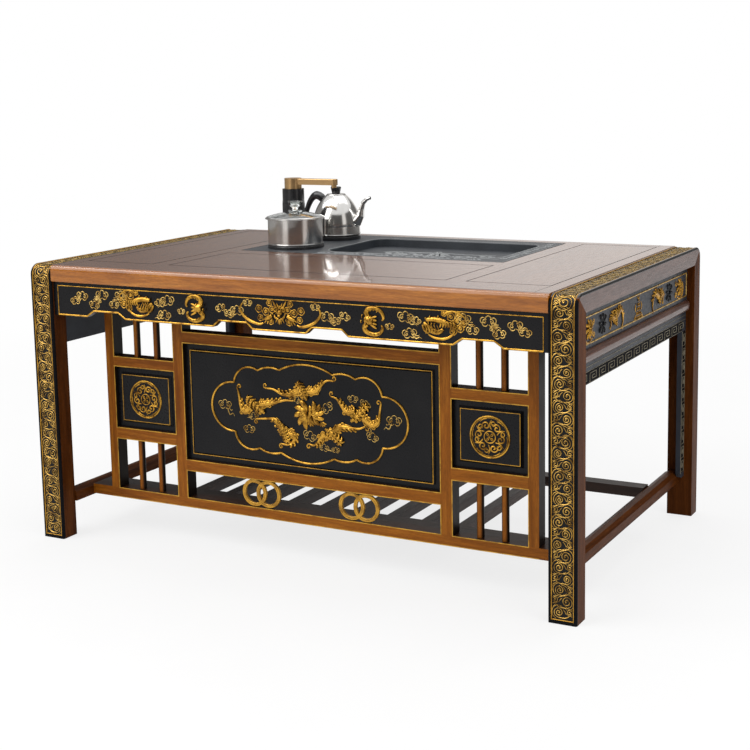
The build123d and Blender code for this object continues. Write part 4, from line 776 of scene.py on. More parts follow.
class Motif:
    """Carved motifs, each as strokes in millimetres."""

    @staticmethod
    def curl(end: Point, heading: float, reach: float, hand: int, width: float, lift: float = 0.0) -> Stroke:
        """Small curl that ends a line.

        Args:
            end: where the line ends.
            heading: the line's direction there, in degrees.
            reach: size of the curl.
            hand: the way that it turns.
            width: its half width at the start.
            lift: its height above the ground.

        Returns:
            The curl's stroke.
        """
        eye = toward(end, heading + hand * 90, reach)
        path = spiral(eye, reach, 0.95, heading - hand * 90, hand, 45)
        return Stroke(path, scaled(width, 1, 0.9, 1.15), lift, 2)

    @staticmethod
    def cloud(width: float, ridge: float = 1.5, tail: Point | None = None) -> list[Stroke]:
        """Cloud of two scrolls in a lobed outline.

        Args:
            width: its width.
            ridge: half width of its lines.
            tail: where its tail ends, from the middle.

        Returns:
            The strokes.
        """
        rx, ry, lobe = width * 0.30, width * 0.13, width * 0.155
        line = scaled(ridge, 0.7, 1, 0.7)
        strokes = []
        for k in range(5):
            angle = 90 + 72 * k
            middle = (rx * math.cos(math.radians(angle)), ry * math.sin(math.radians(angle)))
            arc = [toward(middle, angle - 105 + 35 * part, lobe) for part in range(7)]
            strokes.append(Stroke(arc, line, 0.0, 2))
        for side in SIDES:
            curl = spiral((side * rx * 0.62, -ry * 0.1), ry * 1.05, 1.2, 90 + side * 40, -side, 45)
            strokes.append(Stroke(curl, line, 0.3, 2))
        if tail:
            x, y = tail
            strokes += strokes_of(
                (((x * 0.25, y * 0.3), (x * 0.5, y * 0.9), (x * 0.8, y * 0.75), tail),
                 scaled(ridge, 1.4, 1.1, 0.4)),
                (((x * 0.3, y * 0.05), (x * 0.62, y * 0.5), (x * 0.8, y * 0.4)), scaled(ridge, 1, 0.8, 0.4)))
        return strokes

    @staticmethod
    def scroll(reach: float, ridge: float = 1.2) -> list[Stroke]:
        """Single scroll inside a ring of small lobes."""
        strokes = [Stroke(spiral((0, 0), reach * 0.62, 1.5, 200, -1, 45), (ridge * 0.8, ridge), 0.3, 2)]
        points = ((30, 1), (66, 1.12), (102, 1))
        for k in range(5):
            lobe = [toward((0, 0), turn + 72 * k, reach * bulge) for turn, bulge in points]
            strokes.append(Stroke(lobe, scaled(ridge, 0.6, 1, 0.6)))
        return strokes

    @staticmethod
    def petals(count: int, inner: float, outer: float, width: float, lift: float,
               turn: float = 0.0) -> list[Stroke]:
        """Ring of petals.

        Args:
            count: how many.
            inner: where each starts, from the middle.
            outer: where each ends.
            width: half width at its widest.
            lift: height of its foot.
            turn: turn of the ring in degrees.

        Returns:
            The strokes.
        """
        strokes = []
        for k in range(count):
            angle = turn + 360 * k / count
            reach = (outer - inner) / 2
            for side in SIDES:
                bend = toward(toward((0, 0), angle, inner + reach * 1.1), angle + side * 90, width * 0.72)
                strokes.append(Stroke((toward((0, 0), angle, inner), bend, toward((0, 0), angle, outer)),
                                      scaled(width, 0.2, 0.36, 0.42, 0.3, 0.12), lift, 3))
        return strokes

    @staticmethod
    def leaves(count: int, inner: float, outer: float, width: float, lift: float, turn: float = 0.0,
               spread: float = 360.0) -> list[Stroke]:
        """Fan or ring of broad leaves, each with a raised rib.

        Args:
            count: how many.
            inner: where each starts, from the middle.
            outer: where each ends.
            width: half width at its widest.
            lift: height of its foot.
            turn: turn of the first in degrees.
            spread: degrees that they are spread over.

        Returns:
            The strokes.
        """
        strokes = []
        for k in range(count):
            angle = turn + spread * k / count
            foot, tip = toward((0, 0), angle, inner), toward((0, 0), angle + 8, outer)
            middle = toward((0, 0), angle - 3, (inner + outer) * 0.56)
            path = (foot, middle, tip)
            strokes += strokes_of(
                (path, scaled(width, 0.45, 0.9, 1, 0.8, 0.15), scaled(lift, 1, 0.8, 0.4), 4),
                (path, scaled(width, 0.16, 0.24, 0.1), (lift + width * 0.5, lift + width * 0.5, lift), 4))
        return strokes

    @staticmethod
    def peony(reach: float) -> list[Stroke]:
        """Open flower with three rings of broad petals and a bud."""
        return (Motif.leaves(8, reach * 0.3, reach, reach * 0.19, 0.4, 12)
                + Motif.leaves(7, reach * 0.2, reach * 0.74, reach * 0.17, 3.4, 30)
                + Motif.leaves(5, reach * 0.05, reach * 0.46, reach * 0.15, 6.0)
                + [Stroke(((-reach * 0.05, 0.0), (reach * 0.05, 0.0)), scaled(reach, 0.1, 0.14, 0.1), 7.0)])

    @staticmethod
    def lotus(reach: float, turn: float = 0.0) -> list[Stroke]:
        """Half-open flower whose broad petals fan out to one side."""
        return moved(Motif.leaves(5, reach * 0.14, reach, reach * 0.21, 1.0, -72, 176)
                     + Motif.leaves(3, reach * 0.05, reach * 0.66, reach * 0.19, 4.6, -46, 132)
                     + Motif.leaves(2, 0.0, reach * 0.42, reach * 0.16, 7.0, -22, 88), 0, 0, turn)

    @staticmethod
    def rosette(reach: float) -> list[Stroke]:
        """Six-petalled rosette with a round middle."""
        return (Motif.petals(6, reach * 0.25, reach, reach * 0.26, 0.0)
                + [Stroke(((-0.6, 0.0), (0.6, 0.0)), (reach * 0.26, reach * 0.3, reach * 0.26), 1.0)])


@dataclass(frozen=True)
class Bat:
    """A carved bat with feathered wings that end in curls."""

    tail: Point
    head: Point
    wings: Sequence[Sequence[Point]]
    girth: float = 10.5
    feather: float = 16.0
    feathers: int = 6
    curl: float = 7.5

    def wing(self, path: Sequence[Point]) -> list[Stroke]:
        """Builds one wing from its shoulder to its curl.

        Args:
            path: the leading edge.

        Returns:
            The strokes.
        """
        line, g = smooth(path, 6), self.girth
        (ax, ay), (bx, by) = line[0], line[-1]
        side = 1 if (bx - ax) * (self.tail[1] - ay) - (by - ay) * (self.tail[0] - ax) > 0 else -1
        inner = line[:max(3, int(len(line) * 0.62))]
        strokes = strokes_of(
            (line, scaled(g, 0.5, 0.62, 0.56, 0.42, 0.34, 0.27, 0.22), scaled(g, 0.3, 0.2, 0.1), 1),
            (inner, scaled(g, 1.15, 1.2, 0.9, 0.4), -g * 0.25, 1))
        for k in range(self.feathers):
            t = 0.60 * (1 - k / (self.feathers - 1))
            i = min(int(t * (len(line) - 1)), len(line) - 2)
            heading = bearing(line[i], line[i + 1])
            root = toward(line[i], heading + side * 90, g * 0.25 * (1 - t))
            for reach, high, spread in ((1.0, 0.05, 0), (0.58, 0.3, 12)):
                length = self.feather * reach * (1.0 - 0.45 * t)
                lean = heading + side * (78 - 34 * t + spread)
                middle = toward(root, lean, length * 0.5)
                tip = toward(middle, lean - side * 36, length * 0.5)
                strokes.append(Stroke((root, middle, tip), scaled(g, 0.24, 0.35, 0.34, 0.26),
                                      (g * (high + 0.2), g * high, 0.3), 3))
        for t in (0.14, 0.32):
            i = int(t * (len(line) - 1))
            heading = bearing(line[i], line[i + 1])
            eye = toward(line[i], heading - side * 90, g * 0.62)
            strokes.append(Stroke(spiral(eye, g * 0.55, 1.1, heading + 180, side, 50),
                                  scaled(g, 0.12, 0.19, 0.17), g * 0.3, 1))
        strokes.append(Motif.curl(line[-1], bearing(line[-2], line[-1]), self.curl, side, g * 0.2, 0.3))
        return strokes

    def strokes(self) -> list[Stroke]:
        """Builds the whole bat."""
        g = self.girth
        facing = bearing(self.tail, self.head)
        middle = ((self.tail[0] + self.head[0]) / 2, (self.tail[1] + self.head[1]) / 2)
        made = [stroke for path in self.wings for stroke in self.wing(path)]
        made.append(Stroke((self.tail, middle, self.head), scaled(g, 0.5, 1.0, 1.05, 0.7), -g * 0.05))
        for row in range(4):
            root = toward(self.tail, facing, row * math.dist(self.tail, self.head) * 0.26)
            for lean in (-58, -20, 20, 58):
                away = facing + 180 + lean
                foot = toward(root, away, g * 0.3)
                fur = (foot, toward(foot, away, g * 0.55), toward(foot, away + lean * 0.8, g * 1.05))
                made.append(Stroke(fur, scaled(g, 0.18, 0.27, 0.26, 0.16), scaled(g, 0.72, 0.55, 0.1)))
        for side in SIDES:
            for back, out in ((0.2, 0.8), (1.3, 1.15)):
                eye = toward(toward(self.head, facing + 180, g * back), facing + side * 90, g * out)
                made.append(Stroke(spiral(eye, g * 0.55, 1.2, facing - side * 60, -side, 50),
                                   scaled(g, 0.12, 0.2, 0.17), g * 0.35, 1))
        made.append(Stroke((toward(self.head, facing, -g * 0.3), toward(self.head, facing, g * 0.5)),
                           scaled(g, 0.6, 0.85, 0.5), g * 0.35))
        snout = toward(self.head, facing, g * 0.7)
        made.append(Stroke((toward(snout, facing - 90, g * 0.25), toward(snout, facing + 90, g * 0.25)),
                           scaled(g, 0.22, 0.34, 0.22), g * 0.5))
        for side in SIDES:
            ear = toward(self.head, facing + side * 105, g * 0.55)
            tip = toward(ear, facing + side * 125, g * 0.85)
            made.append(Stroke((ear, tip), scaled(g, 0.34, 0.1), g * 0.4))
            eye = toward(self.head, facing + side * 52, g * 0.42)
            made.append(Stroke((toward(eye, facing, -0.4), toward(eye, facing, 0.4)),
                               scaled(g, 0.15, 0.2, 0.15), g * 0.85))
        return made


@dataclass
class Screen:
    """Gilt lines, beads and carving of the front screen."""

    palette: Palette
    face: float = -368.0
    field_face: float = -364.0
    line: float = 2.6
    inner: float = 388.0
    bay: tuple[float, float] = (422.0, 625.5)
    panel: tuple[float, float] = (238.0, 564.5)
    levels: tuple[tuple[float, float], ...] = ((129.5, 273.0), (306.5, 481.5), (511.0, 712.0))
    centre_levels: tuple[tuple[float, float], ...] = ((129.5, 205.5), (238.0, 564.5), (597.0, 712.0))
    field_line: tuple[float, float] = (22.0, 19.5)
    bay_line: float = 23.0
    foot: tuple[float, float] = (101.0, 654.0)
    medallion: tuple[float, float, float] = (523.75, 394.0, 55.0)
    rings: tuple[float, float, float] = (150.0, 167.5, 22.0)
    proud: float = 0.7
    field_proud: float = 0.8
    sunk: float = 0.6
    round_off: float = 0.35
    centre_wide: float = 1.9
    bay_wide: float = 1.7

    def frame(self, x0: float, x1: float, z0: float, z1: float, wide: float, y: float,
              proud: float) -> list[list[float]]:
        """Four bars round a rectangle.

        Args:
            x0: left side.
            x1: right side.
            z0: lower side.
            z1: upper side.
            wide: width of the bars, outside the rectangle.
            y: the face that they lie on.
            proud: how far they stand out.

        Returns:
            The bars' boxes.
        """
        near, far = y - proud, y + self.sunk
        return [[x0 - wide, x1 + wide, near, far, z0 - wide, z0],
                [x0 - wide, x1 + wide, near, far, z1, z1 + wide],
                [x0 - wide, x0, near, far, z0, z1], [x1, x1 + wide, near, far, z0, z1]]

    def lines(self) -> None:
        """Lays the gilt lines round every opening of the frame and on the panels."""
        boxes = []
        for z0, z1 in self.centre_levels:
            boxes += self.frame(-self.inner, self.inner, z0, z1, self.line, self.face, self.proud)
        for z0, z1 in self.levels:
            for side in SIDES:
                x0, x1 = sorted((side * self.bay[0], side * self.bay[1]))
                boxes += self.frame(x0, x1, z0, z1, self.line, self.face, self.proud)
        z, x = self.foot
        boxes.append([-x, x, self.face - self.proud, self.face + self.sunk, z, z + self.line])
        Bench.hand_in(Bench.bars("screen_gilt_lines", boxes, self.round_off), self.palette.line, "gilding")
        dx, dz = self.field_line
        boxes = self.frame(-self.inner + dx, self.inner - dx, self.panel[0] + dz, self.panel[1] - dz,
                           self.centre_wide, self.field_face, self.field_proud)
        (low, high), inset = self.levels[1], self.bay_line
        for side in SIDES:
            x0, x1 = sorted((side * (self.bay[0] + inset), side * (self.bay[1] - inset)))
            boxes += self.frame(x0, x1, low + inset, high - inset, self.bay_wide, self.field_face,
                                self.field_proud)
        Bench.hand_in(Bench.bars("panel_gilt_lines", boxes, self.round_off), self.palette.line, "gilding")

    def cartouche(self) -> None:
        """Scalloped bead round the carving."""
        z = sum(self.panel) / 2
        cusps = ((228.0, 68.0), (150.0, 107.0), (82.0, 113.0))
        reach, inset = 302.0, 3.0
        pull = 1 - inset / reach
        across, upright = ((1, 1), (-1, 1)), ((1, 1), (1, -1))
        lobes = ((((228.0, -68.0), (reach, 0.0), cusps[0]), across),
                 ((cusps[0], (196.0, 110.0), cusps[1]), (*across, (1, -1), (-1, -1))),
                 ((cusps[1], (115.0, 118.0), cusps[2]), (*across, (1, -1), (-1, -1))),
                 ((cusps[2], (0.0, 134.0), (-82.0, 113.0)), upright))
        strokes = []
        for lobe, mirrors in lobes:
            for mx, mz in mirrors:
                path = [(mx * x * pull, z + mz * y * pull) for x, y in self.arc(*lobe)]
                strokes.append(Stroke(path, (3.1, 3.1), 0.6, 1))
        bead = Bench.carve("cartouche_bead", strokes, Face.FRONT.place((0, self.field_face, 0)), 1.1, 2)
        Bench.hand_in(bead, self.palette.gold, "gilding", replaces=["cartouche"])

    @staticmethod
    def arc(a: Point, b: Point, c: Point, count: int = 18) -> list[Point]:
        """Points along the arc through three points.

        Args:
            a: its start.
            b: a point on it.
            c: its end.
            count: how many parts.

        Returns:
            The points.
        """
        d = 2 * (a[0] * (b[1] - c[1]) + b[0] * (c[1] - a[1]) + c[0] * (a[1] - b[1]))
        sq = [p[0] ** 2 + p[1] ** 2 for p in (a, b, c)]
        ux = (sq[0] * (b[1] - c[1]) + sq[1] * (c[1] - a[1]) + sq[2] * (a[1] - b[1])) / d
        uy = (sq[0] * (c[0] - b[0]) + sq[1] * (a[0] - c[0]) + sq[2] * (b[0] - a[0])) / d
        radius = math.dist((ux, uy), a)
        start, via, end = (bearing((ux, uy), point) for point in (a, b, c))
        sweep = (end - start) % 360
        if (via - start) % 360 > sweep:
            sweep -= 360
        return [toward((ux, uy), start + sweep * k / count, radius) for k in range(count + 1)]

    def carving(self) -> None:
        """Five bats and clouds round a peony."""
        bats = (
            Bat((-20, 476), (-1, 448), (((-16, 466), (-45, 452), (-72, 449), (-100, 460), (-126, 461)),
                                        ((6, 462), (28, 466), (44, 480), (62, 496), (84, 497)))),
            Bat((-176, 424), (-136, 398), (((-172, 404), (-196, 392), (-206, 410), (-210, 434), (-216, 456)),
                                           ((-142, 414), (-118, 420), (-92, 426), (-66, 433), (-40, 434)))),
            Bat((176, 436), (142, 402), (((146, 424), (122, 420), (106, 436), (92, 452), (76, 456)),
                                         ((168, 408), (196, 392), (214, 402), (218, 426), (222, 450)))),
            Bat((-62, 330), (-72, 358), (((-72, 352), (-88, 366), (-96, 379), (-124, 378), (-158, 374)),
                                         ((-56, 346), (-38, 338), (-44, 322), (-62, 313), (-80, 314)))),
            Bat((98, 340), (66, 364), (((84, 366), (106, 378), (132, 378), (156, 378), (176, 386)),
                                       ((58, 354), (44, 344), (34, 330), (20, 320), (6, 322)))),
        )
        strokes = [stroke for bat in bats for stroke in bat.strokes()]
        strokes += moved(Motif.lotus(42, 188), 3, 402) + moved(Motif.lotus(35, 12), 19, 404)
        strokes += moved(Motif.leaves(1, 2, 24, 6.4, 0.8, 84), 10, 402)
        strokes += moved(Motif.leaves(2, 4, 22, 5.2, 0.8, 250, 80), 11, 400)
        strokes.append(Stroke(((7, 393), (11, 402), (14, 412)), (4.5, 6.5, 4.0), 3.5))
        strokes += moved(Motif.leaves(5, 2, 19, 3.6, 0.6, 200, 140), 14, 388)
        strokes += moved(Motif.leaves(4, 2, 15, 3.2, 0.6, 250, 110), 46, 386)
        body = Bench.carve("screen_bats", strokes, Face.FRONT.place((0, self.field_face, 0)), 0.6, 2)
        Bench.hand_in(body, self.palette.gold, "gilding", replaces=["screen_carving"])
        rows = ((46, 1.5, (30, -30), -257, 405, 0), (40, 1.5, None, -181, 344, 0),
                (34, 1.4, (-22, -4), -166, 381, 8), (48, 1.5, (-30, -26), 259, 409, 0),
                (40, 1.4, (-24, 22), 195, 360, -20), (46, 1.5, None, 8, 344, -20),
                (34, 1.3, (28, -4), 50, 317, -10), (26, 1.3, None, 86, 314, 0), (44, 1.5, None, 62, 424, 40),
                (34, 1.4, None, 140, 455, 0), (30, 1.3, None, -30, 438, -30), (36, 1.4, None, 176, 444, -30))
        clouds = [stroke for width, ridge, tail, *where in rows
                  for stroke in moved(Motif.cloud(width, ridge, tail), *where)]
        piece = Bench.carve("screen_clouds", clouds, Face.FRONT.place((0, self.field_face, 0)), 1.2, 0)
        Bench.hand_in(piece, self.palette.pale_gold, "gilding")

    def medallions(self) -> None:
        """Openwork medallions of the two bay panels, each round a plain roundel."""
        x, z, reach = self.medallion
        strokes = strokes_of((circle(reach - 2.6, 10), (2.4, 2.4), 0.4, 1),
                             (circle(reach - 6.4, 10), (0.8, 0.8), 0.4, 1))
        leaf = strokes_of((spiral((29, -5), 11.5, 1.35, 95, -1, 40), (1.6, 2.3, 2.0), 0.6, 2),
                          (spiral((33, 10), 8.0, 1.1, 250, 1, 45), (1.2, 1.9, 1.6), 0.6, 2),
                          (((19, 6), (27, 16), (40, 18)), (1.0, 2.6, 0.6), 0.4),
                          (((44, -16), (47, -6), (45, 4)), (0.6, 1.8, 0.6), 0.4))
        for k in range(6):
            strokes += moved(leaf, 0, 0, 60 * k)
        strokes.append(Stroke(circle(15, 15), (1.7, 1.7), 0.8, 1))
        strokes += Motif.petals(4, 2, 13, 3.2, 0.8, 45)
        strokes.append(Stroke(((-1, 0), (1, 0)), (2.6, 3.0, 2.6), 2.5))
        both = moved(strokes, -x, z, 0, -1) + moved(strokes, x, z)
        piece = Bench.carve("medallion_scrolls", both, Face.FRONT.place((0, self.field_face, 0)), 0.95, 1)
        Bench.hand_in(piece, self.palette.gold, "gilding", replaces=["medallions"])

    def linked_rings(self) -> None:
        """Two pairs of flat linked rings."""
        x, z, apart = self.rings
        profile = [(28.2, 0.8), (29.2, 0.0), (32.0, 0.4), (33.2, 1.0), (34.4, 0.4), (37.0, 0.0), (38.0, 0.8),
                   (38.0, 7.2), (37.0, 8.0), (29.2, 8.0), (28.2, 7.2), (28.2, 0.8)]
        flip = [(r, 8.0 - h) for r, h in profile]
        plane = Face.FRONT.place((0, -356, 0))
        parts = [Bench.turned("ring", flip, (side * x + half * apart, z, 0), plane, 56)
                 for side in SIDES for half in SIDES]
        linked = Bench.join("linked_rings", parts)
        Bench.hand_in(linked, self.palette.line, "gilding", replaces=["ring_pairs"])

    def build(self) -> None:
        """Builds all the screen's gilt work."""
        self.lines()
        self.cartouche()
        self.carving()
        self.medallions()
        self.linked_rings()


@dataclass
class Apron:
    """Gilt borders of both aprons and the carving of the front one."""

    palette: Palette
    front: float = -488.0
    top: float = 723.5
    side: float = 713.0
    edge: tuple[Point, ...] = ((0.0, 641.0), (78.0, 641.0), (96.0, 657.0), (183.0, 657.0), (201.0, 641.0),
                               (484.0, 641.0), (508.0, 657.0), (591.0, 657.0), (615.0, 641.0), (713.0, 641.0))
    middle: float = 689.0
    heart: float = 8.0
    bead_rise: float = 2.4

    def borders(self) -> None:
        """Lays a flat line along the top and sides and a thick bead along the scalloped edge."""
        line = ((1.3, 1.3), 0.1, 1)
        for face, y, name in ((Face.FRONT, self.front, "front"), (Face.REAR, -self.front, "rear")):
            edge = [(x, z + self.bead_rise) for x, z in self.edge]
            bead = [Stroke(((side * x0, z0), (side * x1, z1)), (2.5, 2.5), 0.2, 1)
                    for (x0, z0), (x1, z1) in zip(edge, edge[1:]) for side in SIDES]
            bead += [Stroke(((side * self.side, edge[-1][1]), (side * self.side, self.top)), *line)
                     for side in SIDES]
            bead.append(Stroke(((-self.side, self.top), (self.side, self.top)), *line))
            piece = Bench.carve(f"apron_{name}_border", bead, face.place((0, y, 0)), 0.9, 2)
            Bench.hand_in(piece, self.palette.gold, "gilding")

    @staticmethod
    def lump(x: float, y: float, reach: float, lift: float = 1.0) -> Stroke:
        """Round knob of carving."""
        return Stroke(((x - 0.5, y), (x + 0.5, y)), (reach * 0.8, reach, reach * 0.8), lift, 1)

    @staticmethod
    def dragon() -> list[Stroke]:
        """Dragon's head with open jaws towards the left, with its mane behind."""
        made = strokes_of(
            (((-40, 8), (-26, 10), (-8, 9), (10, 4)), (5.0, 6.5, 8.0, 7.5), 0.8),
            (((-47, 1), (-36, -9), (-24, -18), (-8, -20), (4, -12)), (4.0, 7.5, 8.0, 6.5, 4.0), 0.4),
            (((-50, -4), (-45, -16), (-34, -24)), (3.0, 4.6, 3.0), 1.8),
            (((-36, -27), (-20, -34), (2, -36), (20, -30), (33, -17), (31, -8)),
             (1.6, 3.4, 4.0, 3.4, 2.6, 1.2), 0.4),
            (((4, 3), (20, 0), (38, -8)), (7.5, 7.0, 4.5), 0.8),
            (((2, 20), (16, 30), (38, 31), (58, 20), (62, 8)), (1.8, 3.0, 3.0, 2.2, 1.0), 0.4))
        brow = ((-41, 11, 5.2), (-30, 15, 5.0), (-19, 12, 4.6), (-8, 17, 5.4), (2, 10, 4.8), (-34, 4, 3.6))
        made += [Apron.lump(x, y, reach, 3.0) for x, y, reach in brow]
        made += [Stroke(((x, -1 - 0.2 * k), (x + 5, -13), (x + 3, -24 + k)), (0.9, 1.6, 0.8), 7.6)
                 for k, x in enumerate(range(-42, -9, 8))]
        made += [Stroke(((x, 2), (x - 1, -4)), (2.2, 0.8), 3.0, 1) for x in (-34, -26, -18)]
        made += [Stroke(((x, 8 - 0.3 * k), (x + 4, 1), (x + 1, -7)), (1.4, 3.0, 1.4), 5.6)
                 for k, x in enumerate(range(-4, 32, 7))]
        mane = ((24, 18, 9.0), (40, 8, 8.5), (30, -15, 8.5), (48, -8, 8.5), (6, 26, 6.5), (43, 22, 8.0),
                (57, 4, 7.0))
        for x, y, reach in mane:
            made += moved(Motif.scroll(reach, 1.8), x, y)
        return made

    @staticmethod
    def claw_bat() -> list[Stroke]:
        """Bat on its side, with two thick wings that close towards the right."""
        made = strokes_of(
            (((-8, 8), (-13, 18), (-5, 28), (12, 29), (26, 21), (31, 8), (27, 2)),
             (6.5, 6.5, 6.0, 5.4, 4.8, 3.6, 2.0), 0.6),
            (((-10, -8), (-18, -16), (-12, -26), (6, -31), (22, -27), (29, -16), (25, -9)),
             (6.5, 6.5, 6.0, 5.4, 4.8, 3.4, 1.8), 0.6),
            (((-15, 2), (-4, 1), (5, -2)), (9.5, 12.0, 9.0), 0.8))
        fur = ((-20, 10, 6.0), (-23, -2, 5.6), (-12, 5, 5.4), (-12, -8, 5.0), (-3, 9, 5.4), (4, 1, 5.0),
               (-4, -4, 5.0))
        made += [Apron.lump(x, y, reach, 6.0) for x, y, reach in fur]
        made += [Stroke(((0, y), (9, y * 1.5), (15, y * 1.9)), (2.4, 3.0, 1.0), 3.4) for y in (-9, -4, 1, 6)]
        ribs = ((-8, 20), (0, 23), (8, 24), (16, 21), (-10, -21), (-2, -25), (7, -27), (16, -25))
        made += [Stroke(((x, z), (x + 4, z * 1.2)), (0.9, 1.7, 0.9), 6.4) for x, z in ribs]
        return made

    @staticmethod
    def mask() -> list[Stroke]:
        """Horned beast's mask with paws, symmetrical about its middle."""
        half = strokes_of(
            (((9, 16), (15, 25), (19, 33)), (3.2, 2.4, 0.9), 1.4),
            (((4, 18), (8, 27)), (2.4, 0.8), 1.4),
            (spiral((10, 10), 7.5, 1.2, 200, -1, 45), (1.6, 2.4, 2.0), 2.2, 2),
            (((7, 3), (7.8, 3)), (2.4, 3.0, 2.4), 4.4),
            (((3, -12), (11, -9), (15, -2)), (2.2, 3.0, 1.2), 2.6),
            (((3, -15), (5, -24)), (2.6, 2.2, 0.6), 1.0),
            (((8, -13), (12, -21)), (2.2, 2.0, 0.6), 1.0),
            (((22, -4), (32, -10), (42, -14)), (5.0, 6.0, 4.0), 0.8),
            (((40, -12), (48, -17)), (2.4, 1.0), 1.4),
            (((38, -17), (44, -24)), (2.4, 1.0), 1.4),
            (((33, -18), (36, -26)), (2.4, 1.0), 1.4),
            (((107, 22), (115, 8), (104, -10), (84, -22), (60, -28), (48, -24)),
             (1.6, 3.2, 4.2, 4.4, 3.4, 1.6), 0.4))
        scrolls = ((22, 10, 8.0), (26, -20, 6.5), (40, 4, 8.5), (56, -12, 7.0), (60, 10, 8.5), (30, 26, 6.5))
        for x, y, reach in scrolls:
            half += moved(Motif.scroll(reach, 1.5), x, y)
        face = ((13, 12, 3.6), (18, 1, 3.8), (12, -8, 3.4), (30, -2, 3.6), (20, -14, 3.4), (5, 10, 3.2))
        knobs = [Apron.lump(x * side, y, reach, 4.0) for side in SIDES for x, y, reach in face]
        middle = strokes_of((((-6, 2), (0, 4), (6, 2)), (5.0, 7.5, 5.0), 0.8),
                            (((0, 14), (0, 22)), (3.6, 2.8, 1.0), 2.0),
                            (((-3, -4), (3, -4)), (3.0, 4.2, 3.0), 4.0),
                            (((0, -12), (0, -25)), (4.0, 3.4, 1.4), 1.6))
        return half + moved(half, 0, 0, 0, -1) + knobs + middle

    def carving(self) -> None:
        """Mask, bats, dragons and clouds along the front."""
        z = self.middle
        solid = moved(self.mask(), 4, z - 2, 0, 1, 1.04)
        line = []
        clouds = ((125, 0, 44, 0), (150, -10, 34, 20), (92, 22, 30, 0), (176, 4, 34, -20), (300, -13, 26, 0),
                  (343, 13, 48, -6), (372, 7, 30, -24), (354, -26, 44, 8), (496, 18, 44, 0), (520, -8, 36, 0),
                  (560, 16, 46, 0), (588, -13, 38, 12), (574, 2, 24, 40), (628, 10, 42, 8),
                  (652, -4, 38, -10))
        for mirror in (1, -1):
            solid += moved(self.claw_bat(), self.heart + mirror * 258, z - 2, 0, mirror, 1.08)
            solid += moved(self.dragon(), self.heart + mirror * 448, z + 2, 0, mirror)
            for x, up, width, turn in clouds:
                tail = (width * 0.7, -width * 0.35) if width > 40 else None
                across = self.heart + mirror * (x + self.heart)
                line += moved(Motif.cloud(width, 1.6, tail), across, z + up, mirror * turn, mirror)
        place = Face.FRONT.place((0, self.front, 0))
        Bench.hand_in(Bench.carve("apron_figures", solid, place, 0.8, 2), self.palette.gold, "gilding",
                      replaces=["apron_carving"])
        Bench.hand_in(Bench.carve("apron_clouds", line, place, 1.1, 1), self.palette.pale_gold, "gilding")

    def build(self) -> None:
        """Builds both aprons' gilt work."""
        self.borders()
        self.carving()


